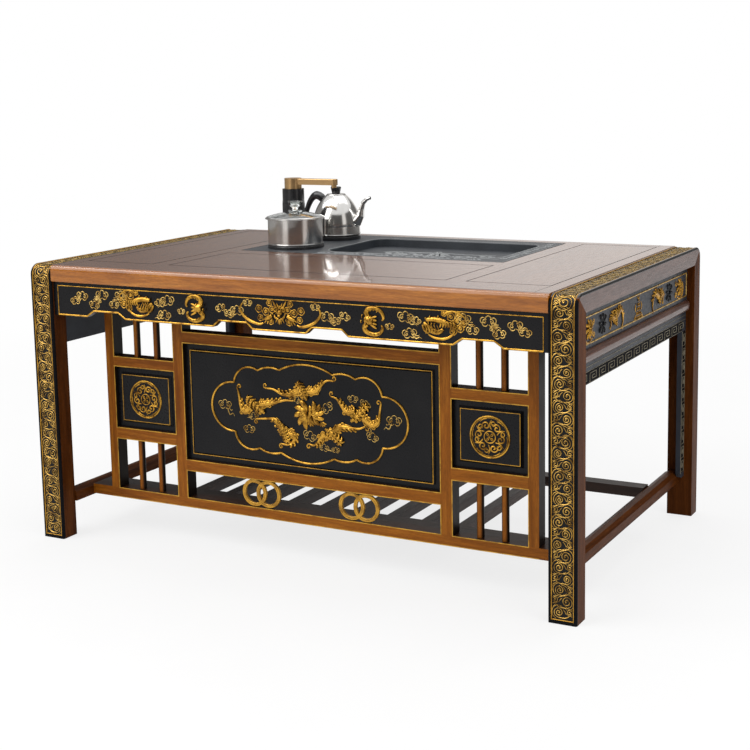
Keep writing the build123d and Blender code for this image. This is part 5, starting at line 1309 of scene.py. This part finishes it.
@dataclass
class CloudBand:
    """Band of swirling clouds that runs up a front leg, over the end rail and down the rear leg."""

    palette: Palette
    middle: float = 764.0
    half: float = 29.0
    depth: float = 3.0
    foot: float = 8.0
    reach: float = 500.0
    height: float = 780.0
    corner: float = 30.0
    pitch: float = 27.0
    lead: float = 14.0

    def __post_init__(self) -> None:
        """Works out the path's length from the leg, the corner and the flat way between both corners."""
        self.up = self.height - self.corner - self.foot
        self.bend = math.pi * self.corner / 2
        self.flat = 2 * (self.reach - self.corner)
        self.length = 2 * self.up + 2 * self.bend + self.flat

    def spot(self, s: float) -> tuple[float, float, float, float]:
        """Finds a place on the outside of the end.

        Args:
            s: distance along the path from the front foot.

        Returns:
            Depth, height, and the two parts of the outward direction.
        """
        if s > self.up + self.bend + self.flat / 2:
            y, z, ny, nz = self.spot(self.length - s)
            return -y, z, -ny, nz
        if s <= self.up:
            return -self.reach, self.foot + s, -1.0, 0.0
        if s <= self.up + self.bend:
            turn = (s - self.up) / self.corner
            return (-self.reach + self.corner - self.corner * math.cos(turn),
                    self.height - self.corner + self.corner * math.sin(turn), -math.cos(turn), math.sin(turn))
        return -self.reach + self.corner + s - self.up - self.bend, self.height, 0.0, 1.0

    def wrap(self, thing: Thing, side: int) -> Thing:
        """Bends a flat strip round the end.

        Args:
            thing: mesh in millimetres, with the path along its second axis.
            side: 1 for the right end, -1 for the left.

        Returns:
            The same object.
        """
        for vertex in thing.data.vertices:
            u, s, h = vertex.co
            y, z, ny, nz = self.spot(min(max(s, 0.0), self.length))
            out = h - self.depth
            vertex.co = (side * (self.middle + u) * MM, (y + ny * out) * MM, (z + nz * out) * MM)
        if side < 0:
            thing.data.flip_normals()
        return thing

    def stations(self) -> list[float]:
        """Distances at which the band's long lines need a point."""
        corner = [self.up + self.bend * k / 8 for k in range(9)]
        return [0.0] + corner + [self.length - s for s in reversed(corner)] + [self.length]

    def swirl(self, eye: Point, reach: float, hand: int, start: float) -> list[Stroke]:
        """One cloud swirl with an arc that runs along its outside.

        Args:
            eye: its middle.
            reach: its outer size.
            hand: the way that it turns.
            start: angle of its outer end, in degrees.

        Returns:
            The strokes.
        """
        outer = [toward(eye, start + hand * (25 + 30 * k), reach + 4.6) for k in range(7)]
        return strokes_of((spiral(eye, reach, 1.9, start, hand, 40), (1.15, 1.5, 1.55, 2.3), 0.4, 2),
                          (outer, (0.7, 1.45, 1.35, 0.6), 0.2, 2),
                          (((eye[0] - 0.3, eye[1]), (eye[0] + 0.3, eye[1])), (1.9, 2.4, 1.9), 0.8, 1))

    def clouds(self) -> list[Stroke]:
        """Fills the strip with swirls that lean to one side and the other, larger at both corners."""
        made, count = [], int((self.length - self.lead) / self.pitch)
        step = (self.length - self.lead) / count
        corner = self.up + self.bend / 2
        for k in range(count):
            s = self.lead + step * (k + 0.5) - self.lead / 2
            hand = 1 if k % 2 else -1
            large = min(abs(s - corner), abs(self.length - s - corner)) < step * 0.5
            reach = 19.5 if large else 12.8 + 2.0 * math.sin(k * 1.7)
            eye = (hand * (3.0 if large else 9.2 + 2.4 * math.sin(k * 2.399)), s)
            made += self.swirl(eye, reach, hand, 270)
            sweep = ((eye[0], s - reach), (-hand * 6.0, s - reach * 1.02), (-hand * 15.0, s - reach * 0.62),
                     (-hand * 23.0, s - reach * 0.05))
            small = spiral((-hand * 17.5, s + 2.0), 7.4, 1.3, 90 + hand * 60, -hand, 45)
            made += strokes_of((sweep, (1.3, 1.75, 1.6, 0.7), 0.4, 2), (small, (1.0, 1.4, 1.8), 0.4, 2))
            fills = ((((-24.5, 9.5), (-15.0, 11.5), (-7.0, 17.0)), (0.8, 1.4, 0.8)),
                     (((-24.5, -7.0), (-15.5, -4.6), (-8.5, -0.5)), (0.8, 1.3, 0.7)),
                     (((24.5, 8.0), (22.0, 14.0), (15.0, 17.0)), (0.8, 1.3, 0.7)),
                     (((-13.0, 6.5), (-7.5, 11.0), (1.0, 13.0), (9.0, 18.0)), (0.7, 1.4, 1.4, 0.7)),
                     (((-9.0, -3.5), (-6.0, 3.5), (-1.0, 8.5)), (0.7, 1.3, 0.6)))
            made += [Stroke([(hand * u, s + v) for u, v in path], widths, 0.2, 2) for path, widths in fills]
        return made

    def ground(self, name: str, side: int) -> None:
        """Makes the black strip that the clouds lie on.

        Args:
            name: left or right.
            side: 1 for the right end, -1 for the left.
        """
        section = ((-self.half, -1.0), (self.half, -1.0), (self.half, 0.0), (-self.half, 0.0))
        stations = self.stations()
        rows = [(u, s, h) for s in stations for u, h in section]
        last = 4 * (len(stations) - 1)
        faces = [(0, 1, 2, 3), tuple(last + k for k in (3, 2, 1, 0))]
        for a in range(0, last, 4):
            faces += [(a + k, a + 4 + k, a + 4 + (k + 1) % 4, a + (k + 1) % 4) for k in range(4)]
        mesh = bpy.data.meshes.new(f"band_ground_{name}")
        mesh.from_pydata(rows, [], faces)
        ground = self.wrap(Bench.link(mesh.name, mesh), side)
        Bench.only(ground)
        bpy.ops.object.mode_set(mode="EDIT")
        bpy.ops.mesh.select_all(action="SELECT")
        bpy.ops.mesh.normals_make_consistent(inside=False)
        bpy.ops.object.mode_set(mode="OBJECT")
        Bench.hand_in(ground, self.palette.lacquer, "gilt_band", replaces=[f"cloud_band_{name}"])

    def edges(self) -> list[Stroke]:
        """Lines along both sides of the strip and across its ends."""
        inset, wide, end_inset = self.half - 1.6, self.half - 2, 1.6
        made = [Stroke([(side * inset, s) for s in self.stations()], (1.5, 1.5), 1.2, 1) for side in SIDES]
        return made + [Stroke(((-wide, s), (wide, s)), (1.4, 1.4), 1.2, 1)
                       for s in (end_inset, self.length - end_inset)]

    def build(self) -> None:
        """Builds the bands of both ends."""
        plain = Matrix.Identity(4)
        for name, side in (("left", -1), ("right", 1)):
            self.ground(name, side)
            scrolls = self.wrap(Bench.carve(f"band_clouds_{name}", self.clouds(), plain, 1.05, 1), side)
            Bench.hand_in(scrolls, self.palette.band_gold, "gilt_band")
            edges = self.wrap(Bench.carve(f"band_lines_{name}", self.edges(), plain, 1.1, 1), side)
            Bench.hand_in(edges, self.palette.line, "gilt_band")


@dataclass
class EndCarving:
    """Gilt frame and carving of the end boards, and the key pattern of the frets."""

    palette: Palette
    board: float = 778.0
    fret: float = 776.0
    half: float = 444.0
    frame: tuple[float, float, float] = (434.0, 646.0, 711.0)
    middle: float = 678.5
    key_pitch: float = 66.0
    keys_across: int = 13
    keys_up: int = 10
    key_foot: float = 551.0
    strip_start: float = 415.0
    strip_foot: float = 136.0
    strip_pitch: float = 41.0
    strip_share: float = 0.72
    fret_apron: tuple[float, float, float] = (409.0, 549.0, 578.0)
    fret_strip: tuple[float, float, float, float] = (412.0, 441.0, 132.0, 546.0)
    sunk: float = 0.6
    proud: float = 0.5

    def faces(self, x: float) -> tuple[tuple[str, Matrix], ...]:
        """Gives the outward plane of each end."""
        return (("left", Face.LEFT.place((-x, 0, 0))), ("right", Face.RIGHT.place((x, 0, 0))))

    @staticmethod
    def pagoda() -> list[Stroke]:
        """Stack of buds between leaves, wide at its foot."""
        made = []
        rows = ((5, -24, 9.5), (4, -13, 9.0), (3, -2, 8.5), (2, 9, 8.0), (1, 20, 0.0))
        for row, (count, up, apart) in enumerate(rows):
            for k in range(count):
                x = (k - (count - 1) / 2) * apart
                made += moved(Motif.petals(4, 0.6, 5.2, 1.9, 0.4 * row, 45), x, up)
                made.append(Stroke(((x - 0.4, up), (x + 0.4, up)), (1.8, 2.3, 1.8), 2.2))
        for side in SIDES:
            made += strokes_of((spiral((side * 26, -22), 7.0, 1.2, 90, side, 45), (1.2, 2.2, 1.8), 0.2, 2),
                               (((side * 20, -8), (side * 25, 4), (side * 18, 14)), (1.0, 2.4, 0.8), 0.2),
                               (((side * 3, 24), (side * 8, 30)), (2.0, 0.8), 0.4))
        return made

    @staticmethod
    def flying_bat() -> list[Stroke]:
        """Bat whose far wing ends in a long curl to the right."""
        bat = Bat((-6, 12), (-2, -8), (((4, 4), (16, 12), (30, 14), (42, 4), (46, -12), (40, -22)),
                                       ((-10, 2), (-22, 8), (-30, 0), (-28, -12))), 7.5, 15.0, 7, 4.5)
        return bat.strokes()

    @staticmethod
    def spray() -> list[Stroke]:
        """Stem that sweeps round a flower, with a curl on each side of its end."""
        return strokes_of(
            (((30, 14), (34, -8), (20, -27), (-4, -30), (-24, -22)), (1.2, 3.4, 4.2, 3.4, 1.2), 0.3),
            (spiral((-31, -16), 9, 1.2, 250, -1, 45), (1.6, 2.4, 2.0), 0.3, 2),
            (spiral((-29, 14), 8, 1.2, 90, 1, 45), (1.6, 2.4, 2.0), 0.3, 2))

    def board_carving(self, name: str, place: Matrix) -> None:
        """Lays the gilt frame, the figures and the black rosettes on one board.

        Args:
            name: left or right.
            place: the board's outward plane.
        """
        half, low, high = self.frame
        outline = ((-half, low), (half, low), (half, high), (-half, high), (-half, low))
        bead = [Stroke(ends, (2.3, 2.3), 0.2, 1) for ends in zip(outline, outline[1:])]
        frame_bead = Bench.carve(f"end_frame_{name}", bead, place, 0.8, 2)
        Bench.hand_in(frame_bead, self.palette.pale_gold, "gilding")
        gold = moved(self.pagoda(), 4, self.middle - 3, 0, 1, 1.04)
        dark = []
        for mirror in SIDES:
            gold += moved(self.flying_bat(), mirror * 176, self.middle - 3, 0, -mirror, 1.2)
            gold += moved(Motif.peony(26), mirror * 366, self.middle + 1)
            gold += moved(self.spray(), mirror * 366, self.middle, 0, mirror)
            rosette = (Motif.rosette(22) + Motif.leaves(4, 12, 28, 5.6, 0.2, 37)
                       + Motif.leaves(4, 10, 25, 4.6, 0.2, 82))
            dark += moved(rosette, mirror * 270, self.middle)
        figures = Bench.carve(f"end_figures_{name}", gold, place, 0.75, 1)
        stands_for = ["end_carving"] if name == "left" else []
        Bench.hand_in(figures, self.palette.gold, "gilding", replaces=stands_for)
        rosettes = Bench.carve(f"end_rosettes_{name}", dark, place, 0.8, 1)
        Bench.hand_in(rosettes, self.palette.lacquer, "black_lacquer")

    def build(self) -> None:
        """Builds both ends."""
        for name, place in self.faces(self.board):
            self.board_carving(name, place)
        for name, place in self.faces(self.fret):
            keys = Bench.carve(f"fret_keys_{name}", self.keys(), place, 0.9, 0)
            Bench.hand_in(keys, self.palette.aged_line, "gilding")
            side = -1 if name == "left" else 1
            near, far = sorted((side * (self.fret - self.sunk), side * (self.fret + self.proud)))
            half, low, high = self.fret_apron
            strips = [(near, far, -half, half, low, high)]
            start, stop, foot, top = self.fret_strip
            strips += [(near, far, *sorted((end * start, end * stop)), foot, top) for end in SIDES]
            Bench.hand_in(Bench.bars(f"fret_ground_{name}", strips), self.palette.ground, "black_lacquer")

    def keys(self) -> list[Stroke]:
        """Row of square keys along the fret apron and down both its strips."""
        line = ((0, 0), (0, 21), (44, 21), (44, 6), (17, 6), (17, 14), (32, 14))
        key = tuple(zip(line, line[1:]))
        ridge, rail = ((1.25, 1.25), 0.1, 1), ((0.9, 0.9), 0.1, 1)
        made = []
        for k in range(self.keys_across):
            x = (k - self.keys_across / 2) * self.key_pitch + 11
            z = self.key_foot
            made += [Stroke(((x + a, z + b), (x + c, z + d)), *ridge) for (a, b), (c, d) in key]
        made += [Stroke(((-self.half + 8, z), (self.half - 8, z)), *rail) for z in (578.5, 590.0)]
        made.append(Stroke(((-408, 549.6), (408, 549.6)), *rail))
        u, share = self.strip_start, self.strip_share
        start, stop, foot, top = self.fret_strip
        for side in SIDES:
            for k in range(self.keys_up):
                z = self.strip_foot + self.strip_pitch * k
                made += [Stroke(((side * (u + b), z + share * a), (side * (u + d), z + share * c)), *ridge)
                         for (a, b), (c, d) in key]
            made += [Stroke(((side * edge, foot), (side * edge, top)), (0.8, 0.8), 0.1, 1)
                     for edge in (start - 0.5, stop)]
        return made


@dataclass
class Tray:
    """Low relief of the stone tray."""

    palette: Palette
    top: float = 780.0
    floor: float = 756.0
    basin: tuple[float, float, float, float] = (-175.0, 365.0, 42.0, 385.0)
    outer: tuple[float, float, float] = (414.0, -23.0, 441.0)
    round: float = 50.0
    rim_out: float = 3.5

    def border(self) -> list[Stroke]:
        """Leaves and scrolls along the front and right borders."""
        x0, x1, y0, _ = self.basin
        right, front, rear = self.outer
        made, y, x = [], (front + y0) / 2, (x1 + right) / 2
        for k in range(11):
            u = x0 + 12 + 47 * k
            hand = 1 if k % 2 else -1
            made += strokes_of(
                (spiral((u, y + hand * 5), 13, 1.3, hand * 90 + 180, hand, 45), (1.5, 2.4, 1.8), 0.0, 2),
                (((u + 14, y - hand * 10), (u + 24, y), (u + 34, y + hand * 10)), (0.8, 3.4, 0.8)),
                (((u + 10, y + hand * 14), (u + 22, y + hand * 10), (u + 34, y + hand * 2)), (0.6, 2.2, 0.6)))
        for k in range(9):
            v = y0 + 12 + 43 * k
            hand = 1 if k % 2 else -1
            made += strokes_of(
                (spiral((x + hand * 4, v), 11, 1.3, 90 - hand * 90, -hand, 45), (1.4, 2.2, 1.6), 0.0, 2),
                (((x - hand * 9, v + 12), (x, v + 22), (x + hand * 9, v + 30)), (0.8, 3.0, 0.8)))
        right, front, rear = right - 6, front + 6, rear - 8
        left, inner_right, inner_front = x0 - 6, x1 + 8, y0 - 9
        return made + strokes_of((((left, front), (right, front)), (1.0, 1.0), 0.0, 1),
                                 (((right, front), (right, rear)), (1.0, 1.0), 0.0, 1),
                                 (((left, inner_front), (inner_right, inner_front)), (0.9, 0.9), 0.0, 1),
                                 (((inner_right, inner_front), (inner_right, rear)), (0.9, 0.9), 0.0, 1))

    def centre(self) -> list[Stroke]:
        """Scrolling cloud and leaves in the middle of the basin."""
        made = moved(Motif.peony(26), 96, 226)
        clouds = ((60, 2.2, 30, 222, 0), (60, 2.2, 160, 218, 0), (44, 2.0, -18, 236, 10),
                  (40, 2.0, 206, 238, -10))
        for width, ridge, *where in clouds:
            made += moved(Motif.cloud(width, ridge), *where)
        return made + strokes_of(
            (((-44, 214), (0, 190), (60, 184), (120, 188), (190, 184), (232, 208)),
             (1.0, 2.6, 3.0, 3.0, 2.4, 1.0)),
            (((-50, 246), (-20, 262), (30, 256), (80, 266), (150, 258), (214, 266)),
             (1.0, 2.4, 2.8, 2.6, 2.4, 1.0)))

    def rim(self) -> Stroke:
        """Closed line round the basin's rounded edge."""
        x0, x1, y0, y1 = self.basin
        r = self.round
        path = []
        left, right, front, rear = x0 + r, x1 - r, y0 + r, y1 - r
        for cx, cy, start in ((right, front, -90), (right, rear, 0), (left, rear, 90), (left, front, 180)):
            path += [toward((cx, cy), start + 9 * k, r + self.rim_out) for k in range(11)]
        return Stroke(path + path[:1], (1.1, 1.1), 0.0, 1)

    def build(self) -> None:
        """Builds the tray's relief."""
        middle = moved(self.centre(), -24, -78, 0, 1, 1.34)
        for name, strokes, height, rise in (("tray_border_relief", self.border(), self.top, 0.32),
                                            ("tray_middle_relief", middle, self.floor, 0.4),
                                            ("basin_rim_line", [self.rim()], self.top, 0.4)):
            piece = Bench.carve(name, strokes, Face.TOP.place((0, 0, height)), rise, 1)
            Bench.hand_in(piece, self.palette.carved_stone, "stone")


@dataclass
class PaintedJointShadows:
    """Thin black bars at the joints of the top: painted shadow, standing in for the shadow in the joint
    grooves.
    """

    palette: Palette
    height: float = 780.0
    wide: float = 2.8
    fields: tuple[tuple[float, float, float, float], ...] = (
        (-689.5, -470.5, -379.5, 441.5), (470.5, 689.5, -379.5, 441.5), (-414.5, 414.5, -379.5, -88.5))
    tray: tuple[float, float, float, float] = (-414.5, 414.5, -23.5, 441.5)
    rail_ends: tuple[tuple[float, float], ...] = ((-484.0, -380.0), (442.0, 484.0))
    end: float = 690.0
    sunk: float = 0.8
    proud: float = 0.1
    end_half: float = 0.5
    end_under: float = 0.04

    def build(self) -> None:
        """Lays the painted shadow lines, a tenth of a millimetre proud."""
        boxes = []
        low, high, half = self.height - self.sunk, self.height + self.proud, self.wide / 2
        for x0, x1, y0, y1 in (*self.fields, self.tray):
            boxes += [(x0 - half, x1 + half, y - half, y + half, low, high) for y in (y0, y1)]
            boxes += [(x - half, x + half, y0, y1, low, high) for x in (x0, x1)]
        for x in (-self.end, self.end):
            boxes += [(x - self.end_half, x + self.end_half, y0, y1, low, high - self.end_under)
                      for y0, y1 in self.rail_ends]
        # The bars are painted shadow in matt black lacquer.
        Bench.hand_in(Bench.bars("top_joint_painted_shadows", boxes), self.palette.ground, "black_lacquer")


@dataclass
class TeaSet:
    """Trim of the pot, the kettle and the faucet's column."""

    palette: Palette
    pot: tuple[float, float, float] = (-303.0, 100.0, 789.0)
    kettle: tuple[float, float, float] = (-300.0, 340.0, 791.0)
    column: tuple[float, float, float] = (-378.0, 215.0, 780.0)
    lid_rise: float = 79.0
    ribs_round: int = 36
    rib_place: float = 32.9
    rib_half: float = 0.9
    rib_span: tuple[float, float] = (2.0, 120.0)

    @staticmethod
    def oval(radius: float, height: float, wide: float, tall: float, step: int = 60) -> list[Point]:
        """Oval section of a ring.

        Args:
            radius: the middle's distance from the axis.
            height: the middle's height.
            wide: half its width.
            tall: half its height.
            step: degrees between points.

        Returns:
            The closed section.
        """
        return [(radius + wide * math.cos(math.radians(a)), height + tall * math.sin(math.radians(a)))
                for a in range(0, 361, step)]

    def knob(self) -> None:
        """Clear knob of the pot's lid: a collar, a thin neck and a hollow cup."""
        profile = [(0.0, 17.0), (21.0, 17.0), (21.5, 18.5), (20.5, 21.0), (9.0, 22.5), (7.2, 25.0),
                   (8.0, 29.0), (13.0, 33.0), (18.5, 39.0), (21.0, 46.0), (21.0, 48.5), (19.5, 49.0),
                   (16.5, 42.0), (10.0, 37.0), (0.0, 35.5)]
        x, y, z = self.pot
        knob = Bench.turned("pot_knob_cup", profile, (x, y, z + self.lid_rise), steps=48)
        Bench.hand_in(knob, self.palette.glass, "glass", "pot_lid", ["pot_knob"])

    def rims(self) -> None:
        """Rolled rim and foot line of the pot, and the bead under the kettle's lid."""
        parts = [Bench.turned("rim", self.oval(86.6, 77.9, 2.4, 1.6, 30), self.pot, steps=96),
                 Bench.turned("rim", self.oval(81.6, 5.0, 0.9, 1.1), self.pot, steps=96)]
        Bench.hand_in(Bench.join("pot_rims", parts), self.palette.steel, "steel", "pot")
        section = [(84.0, 79.4), (85.4, 79.6), (85.4, 81.6), (84.0, 82.6), (82.8, 81.8), (82.8, 79.8),
                   (84.0, 79.4)]
        band = Bench.turned("pot_lid_band", section, self.pot, steps=96)
        Bench.hand_in(band, self.palette.steel, "steel", "pot_lid")
        parts = [Bench.turned("rim", self.oval(30.2, 124.4, 1.4, 1.0, 40), self.kettle, steps=64),
                 Bench.turned("rim", self.oval(73.0, 6.0, 0.9, 1.2), self.kettle, steps=96)]
        Bench.hand_in(Bench.join("kettle_rims", parts), self.palette.steel, "steel", "kettle")

    def handle(self) -> None:
        """Thick ear-shaped grip from the kettle's shoulder down to its side."""
        path = ((-38, 97), (-52, 115), (-70, 122), (-87, 111), (-101, 87), (-110, 60), (-106, 38),
                (-86, 29), (-67, 27))
        grip = Stroke(path, (9.0, 12.5, 13.0, 9.5, 8.0, 8.0, 7.5, 7.0, 7.0), 0.0, 6)
        thing = Bench.carve("kettle_grip", [grip], Face.FRONT.place(self.kettle), 1.05, 5)
        bpy.ops.object.shade_smooth_by_angle(angle=math.radians(50))
        Bench.hand_in(thing, self.palette.black, "black_plastic", "kettle", ["kettle_handle"])

    def ribs(self) -> None:
        """Upright ribs and two rings round the column."""
        x, y, z = self.column
        boxes = []
        (low, high), half = self.rib_span, self.rib_half
        for k in range(self.ribs_round):
            px, py = toward((x, y), 360 / self.ribs_round * k, self.rib_place)
            boxes.append((px - half, px + half, py - half, py + half, z + low, z + high))
        Bench.hand_in(Bench.bars("column_ribs", boxes, 0.3), self.palette.rubber, "black_plastic")
        collar = [(33.0, 121.0), (33.9, 121.6), (33.9, 124.4), (33.0, 125.0), (32.4, 123.0), (33.0, 121.0)]
        foot = [(33.0, 0.1), (36.0, 0.1), (36.0, 2.4), (34.8, 3.4), (33.0, 3.4), (33.0, 0.1)]
        parts = [Bench.turned("ring", section, self.column, steps=64) for section in (collar, foot)]
        Bench.hand_in(Bench.join("column_rings", parts), self.palette.black, "black_plastic")

    def build(self) -> None:
        """Builds the set's trim."""
        self.knob()
        self.rims()
        self.handle()
        self.ribs()


@dataclass
class Studio:
    """The camera, the lights and the pale floor."""

    position: tuple[float, float, float] = (1.91673, -3.52549, 1.27075)
    yaw: float = 0.495025
    pitch: float = 0.152954
    roll: float = -0.0187806
    lens: float = 69.1466
    rise: float = -0.1
    floor_size: float = 60.0
    plain: float = 0.78
    ambient: float = 0.55
    fade: tuple[float, float] = (1.2, 4.0)
    wall: tuple[float, float, float] = (6.5, 4.4, 2.3)
    panel: tuple[float, float, float] = (-1.9, -1.05, 4.0)
    sheen: tuple[float, float, float] = (5.0, 0.9, 9.0)
    tones: tuple[tuple[float, float], ...] = (
        (-180, 0.30), (-120, 0.28), (-112, 0.95), (-98, 0.95), (-90, 0.10), (-32, 0.10), (-26, 1.0),
        (-14, 1.0), (-6, 0.12), (84, 0.22), (98, 0.92), (112, 0.84), (122, 0.40), (134, 0.20), (179, 0.30))
    lamps: tuple[tuple, ...] = (
        ("key", (-2.6, -3.4, 3.6), (0, 0, 0.4), 3.8, 150.0),
        ("fill", (3.8, -1.4, 2.2), (0, 0, 0.4), 3.2, 60.0, False),
        ("top", (0.3, 1.2, 4.0), (0, 0, 0.6), 3.0, 50.0))

    def camera(self) -> None:
        """Adds the camera."""
        ahead = Vector((-math.sin(self.yaw) * math.cos(self.pitch), math.cos(self.yaw) * math.cos(self.pitch),
                        -math.sin(self.pitch)))
        right = Vector((math.cos(self.yaw), math.sin(self.yaw), 0.0))
        up = right.cross(ahead)
        across = right * math.cos(self.roll) + up * math.sin(self.roll)
        upward = up * math.cos(self.roll) - right * math.sin(self.roll)
        data = bpy.data.cameras.new("camera")
        data.lens, data.sensor_width, data.shift_y = self.lens, 36.0, self.rise
        data.clip_end = 100.0
        camera = Bench.link("camera", data)
        turn = Matrix((across, upward, -ahead)).transposed().to_4x4()
        camera.matrix_world = Matrix.Translation(Vector(self.position)) @ turn
        bpy.context.scene.camera = camera

    def lamp(self, name: str, place: Sequence[float], aim: Sequence[float], size: float, power: float,
             mirrored: bool = True) -> None:
        """Adds a soft lamp.

        Args:
            name: the lamp's name.
            place: where it hangs, in metres.
            aim: the point that it faces.
            size: its side, in metres.
            power: its power, in watts.
            mirrored: whether polished surfaces show it.
        """
        data = bpy.data.lights.new(name, "AREA")
        data.shape, data.size, data.energy = "SQUARE", size, power
        lamp = Bench.link(name, data)
        facing = (Vector(aim) - Vector(place)).to_track_quat("-Z", "Y").to_matrix().to_4x4()
        lamp.matrix_world = Matrix.Translation(Vector(place)) @ facing
        lamp.visible_glossy = mirrored

    def world(self) -> None:
        """Makes the surroundings plain white to the eye and in gloss, and softer as light."""
        world = bpy.data.worlds.new("studio")
        bpy.context.scene.world = world
        book = Nodes("studio", world)
        light, plain = (book.add("ShaderNodeBackground", {"Color": WHITE, "Strength": strength}).outputs[0]
                        for strength in (self.ambient, 1.0))
        book.show(book.mix(book.seen(), light, plain))

    def floor(self) -> None:
        """Lays the pale floor."""
        bpy.ops.mesh.primitive_plane_add(size=self.floor_size, location=(0, 0, 0))
        floor = bpy.context.object
        floor.name = "floor"
        book = Nodes("floor")
        tone = book.blend((0.86, 0.86, 0.86), (0.90, 0.90, 0.90), book.span(book.noise(3.0), 0.0, 1.0))
        away = book.add("ShaderNodeVectorMath", {0: book.place}, operation="LENGTH").outputs["Value"]
        share = book.compute("MULTIPLY", book.seen(), book.rescale(away, *self.fade, self.plain, 1.0))
        surface = book.coated(Base_Color=tone, Roughness=0.8)
        floor.data.materials.append(book.show(book.mix(share, surface, book.glow())))

    @staticmethod
    def mirror_only(thing: Thing, book: Nodes, light: Socket) -> None:
        """Makes a surface shine with a light that gloss alone shows.

        Args:
            thing: the surface.
            book: its material's nodes.
            light: the light that it gives off.
        """
        bpy.ops.object.transform_apply(location=True, rotation=True, scale=True)
        for seen in ("camera", "diffuse", "transmission", "shadow"):
            setattr(thing, f"visible_{seen}", False)
        thing.data.materials.append(book.show(light))

    def walls(self) -> None:
        """Stands a round wall, light and dark in turn, that polished surfaces mirror."""
        radius, height, middle = self.wall
        bpy.ops.mesh.primitive_cylinder_add(vertices=96, radius=radius, depth=height, end_fill_type="NOTHING",
                                            location=(0, 0, middle))
        wall = bpy.context.object
        wall.name = "studio_wall"
        book = Nodes("studio_wall")
        parts = book.add("ShaderNodeSeparateXYZ", {0: book.place}).outputs
        share = book.rescale(book.compute("ARCTAN2", parts[1], parts[0]), -math.pi, math.pi)
        stops = [((angle + 180) / 360, (tone, tone * 0.97, tone * 0.94)) for angle, tone in self.tones]
        self.mirror_only(wall, book, book.glow(book.ramp(share, stops)))

    def sheen_panel(self) -> None:
        """Hangs a bright panel overhead that only gloss shows, as a line along the rounded front edge."""
        length, depth, strength = self.sheen
        bpy.ops.mesh.primitive_plane_add(size=1.0, location=self.panel)
        panel = bpy.context.object
        panel.scale = (length, depth, 1.0)
        panel.name = "studio_panel"
        book = Nodes("studio_panel")
        self.mirror_only(panel, book, book.glow(strength=strength))

    def build(self) -> None:
        """Sets up the whole studio."""
        bpy.context.scene.view_settings.view_transform = "Standard"
        self.camera()
        self.world()
        self.floor()
        for row in self.lamps:
            self.lamp(*row)
        self.walls()
        self.sheen_panel()
        log.info("studio ready")


def main() -> None:
    """Builds the studio, dresses the solids and adds every made piece."""
    logging.basicConfig(level=logging.INFO, format="%(message)s")
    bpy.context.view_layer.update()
    Studio().build()
    palette = Palette()
    Dressing(palette).dress()
    for maker in (Screen, Apron, CloudBand, EndCarving, Tray, PaintedJointShadows, TeaSet):
        maker(palette).build()


if __name__ == "__main__":
    main()
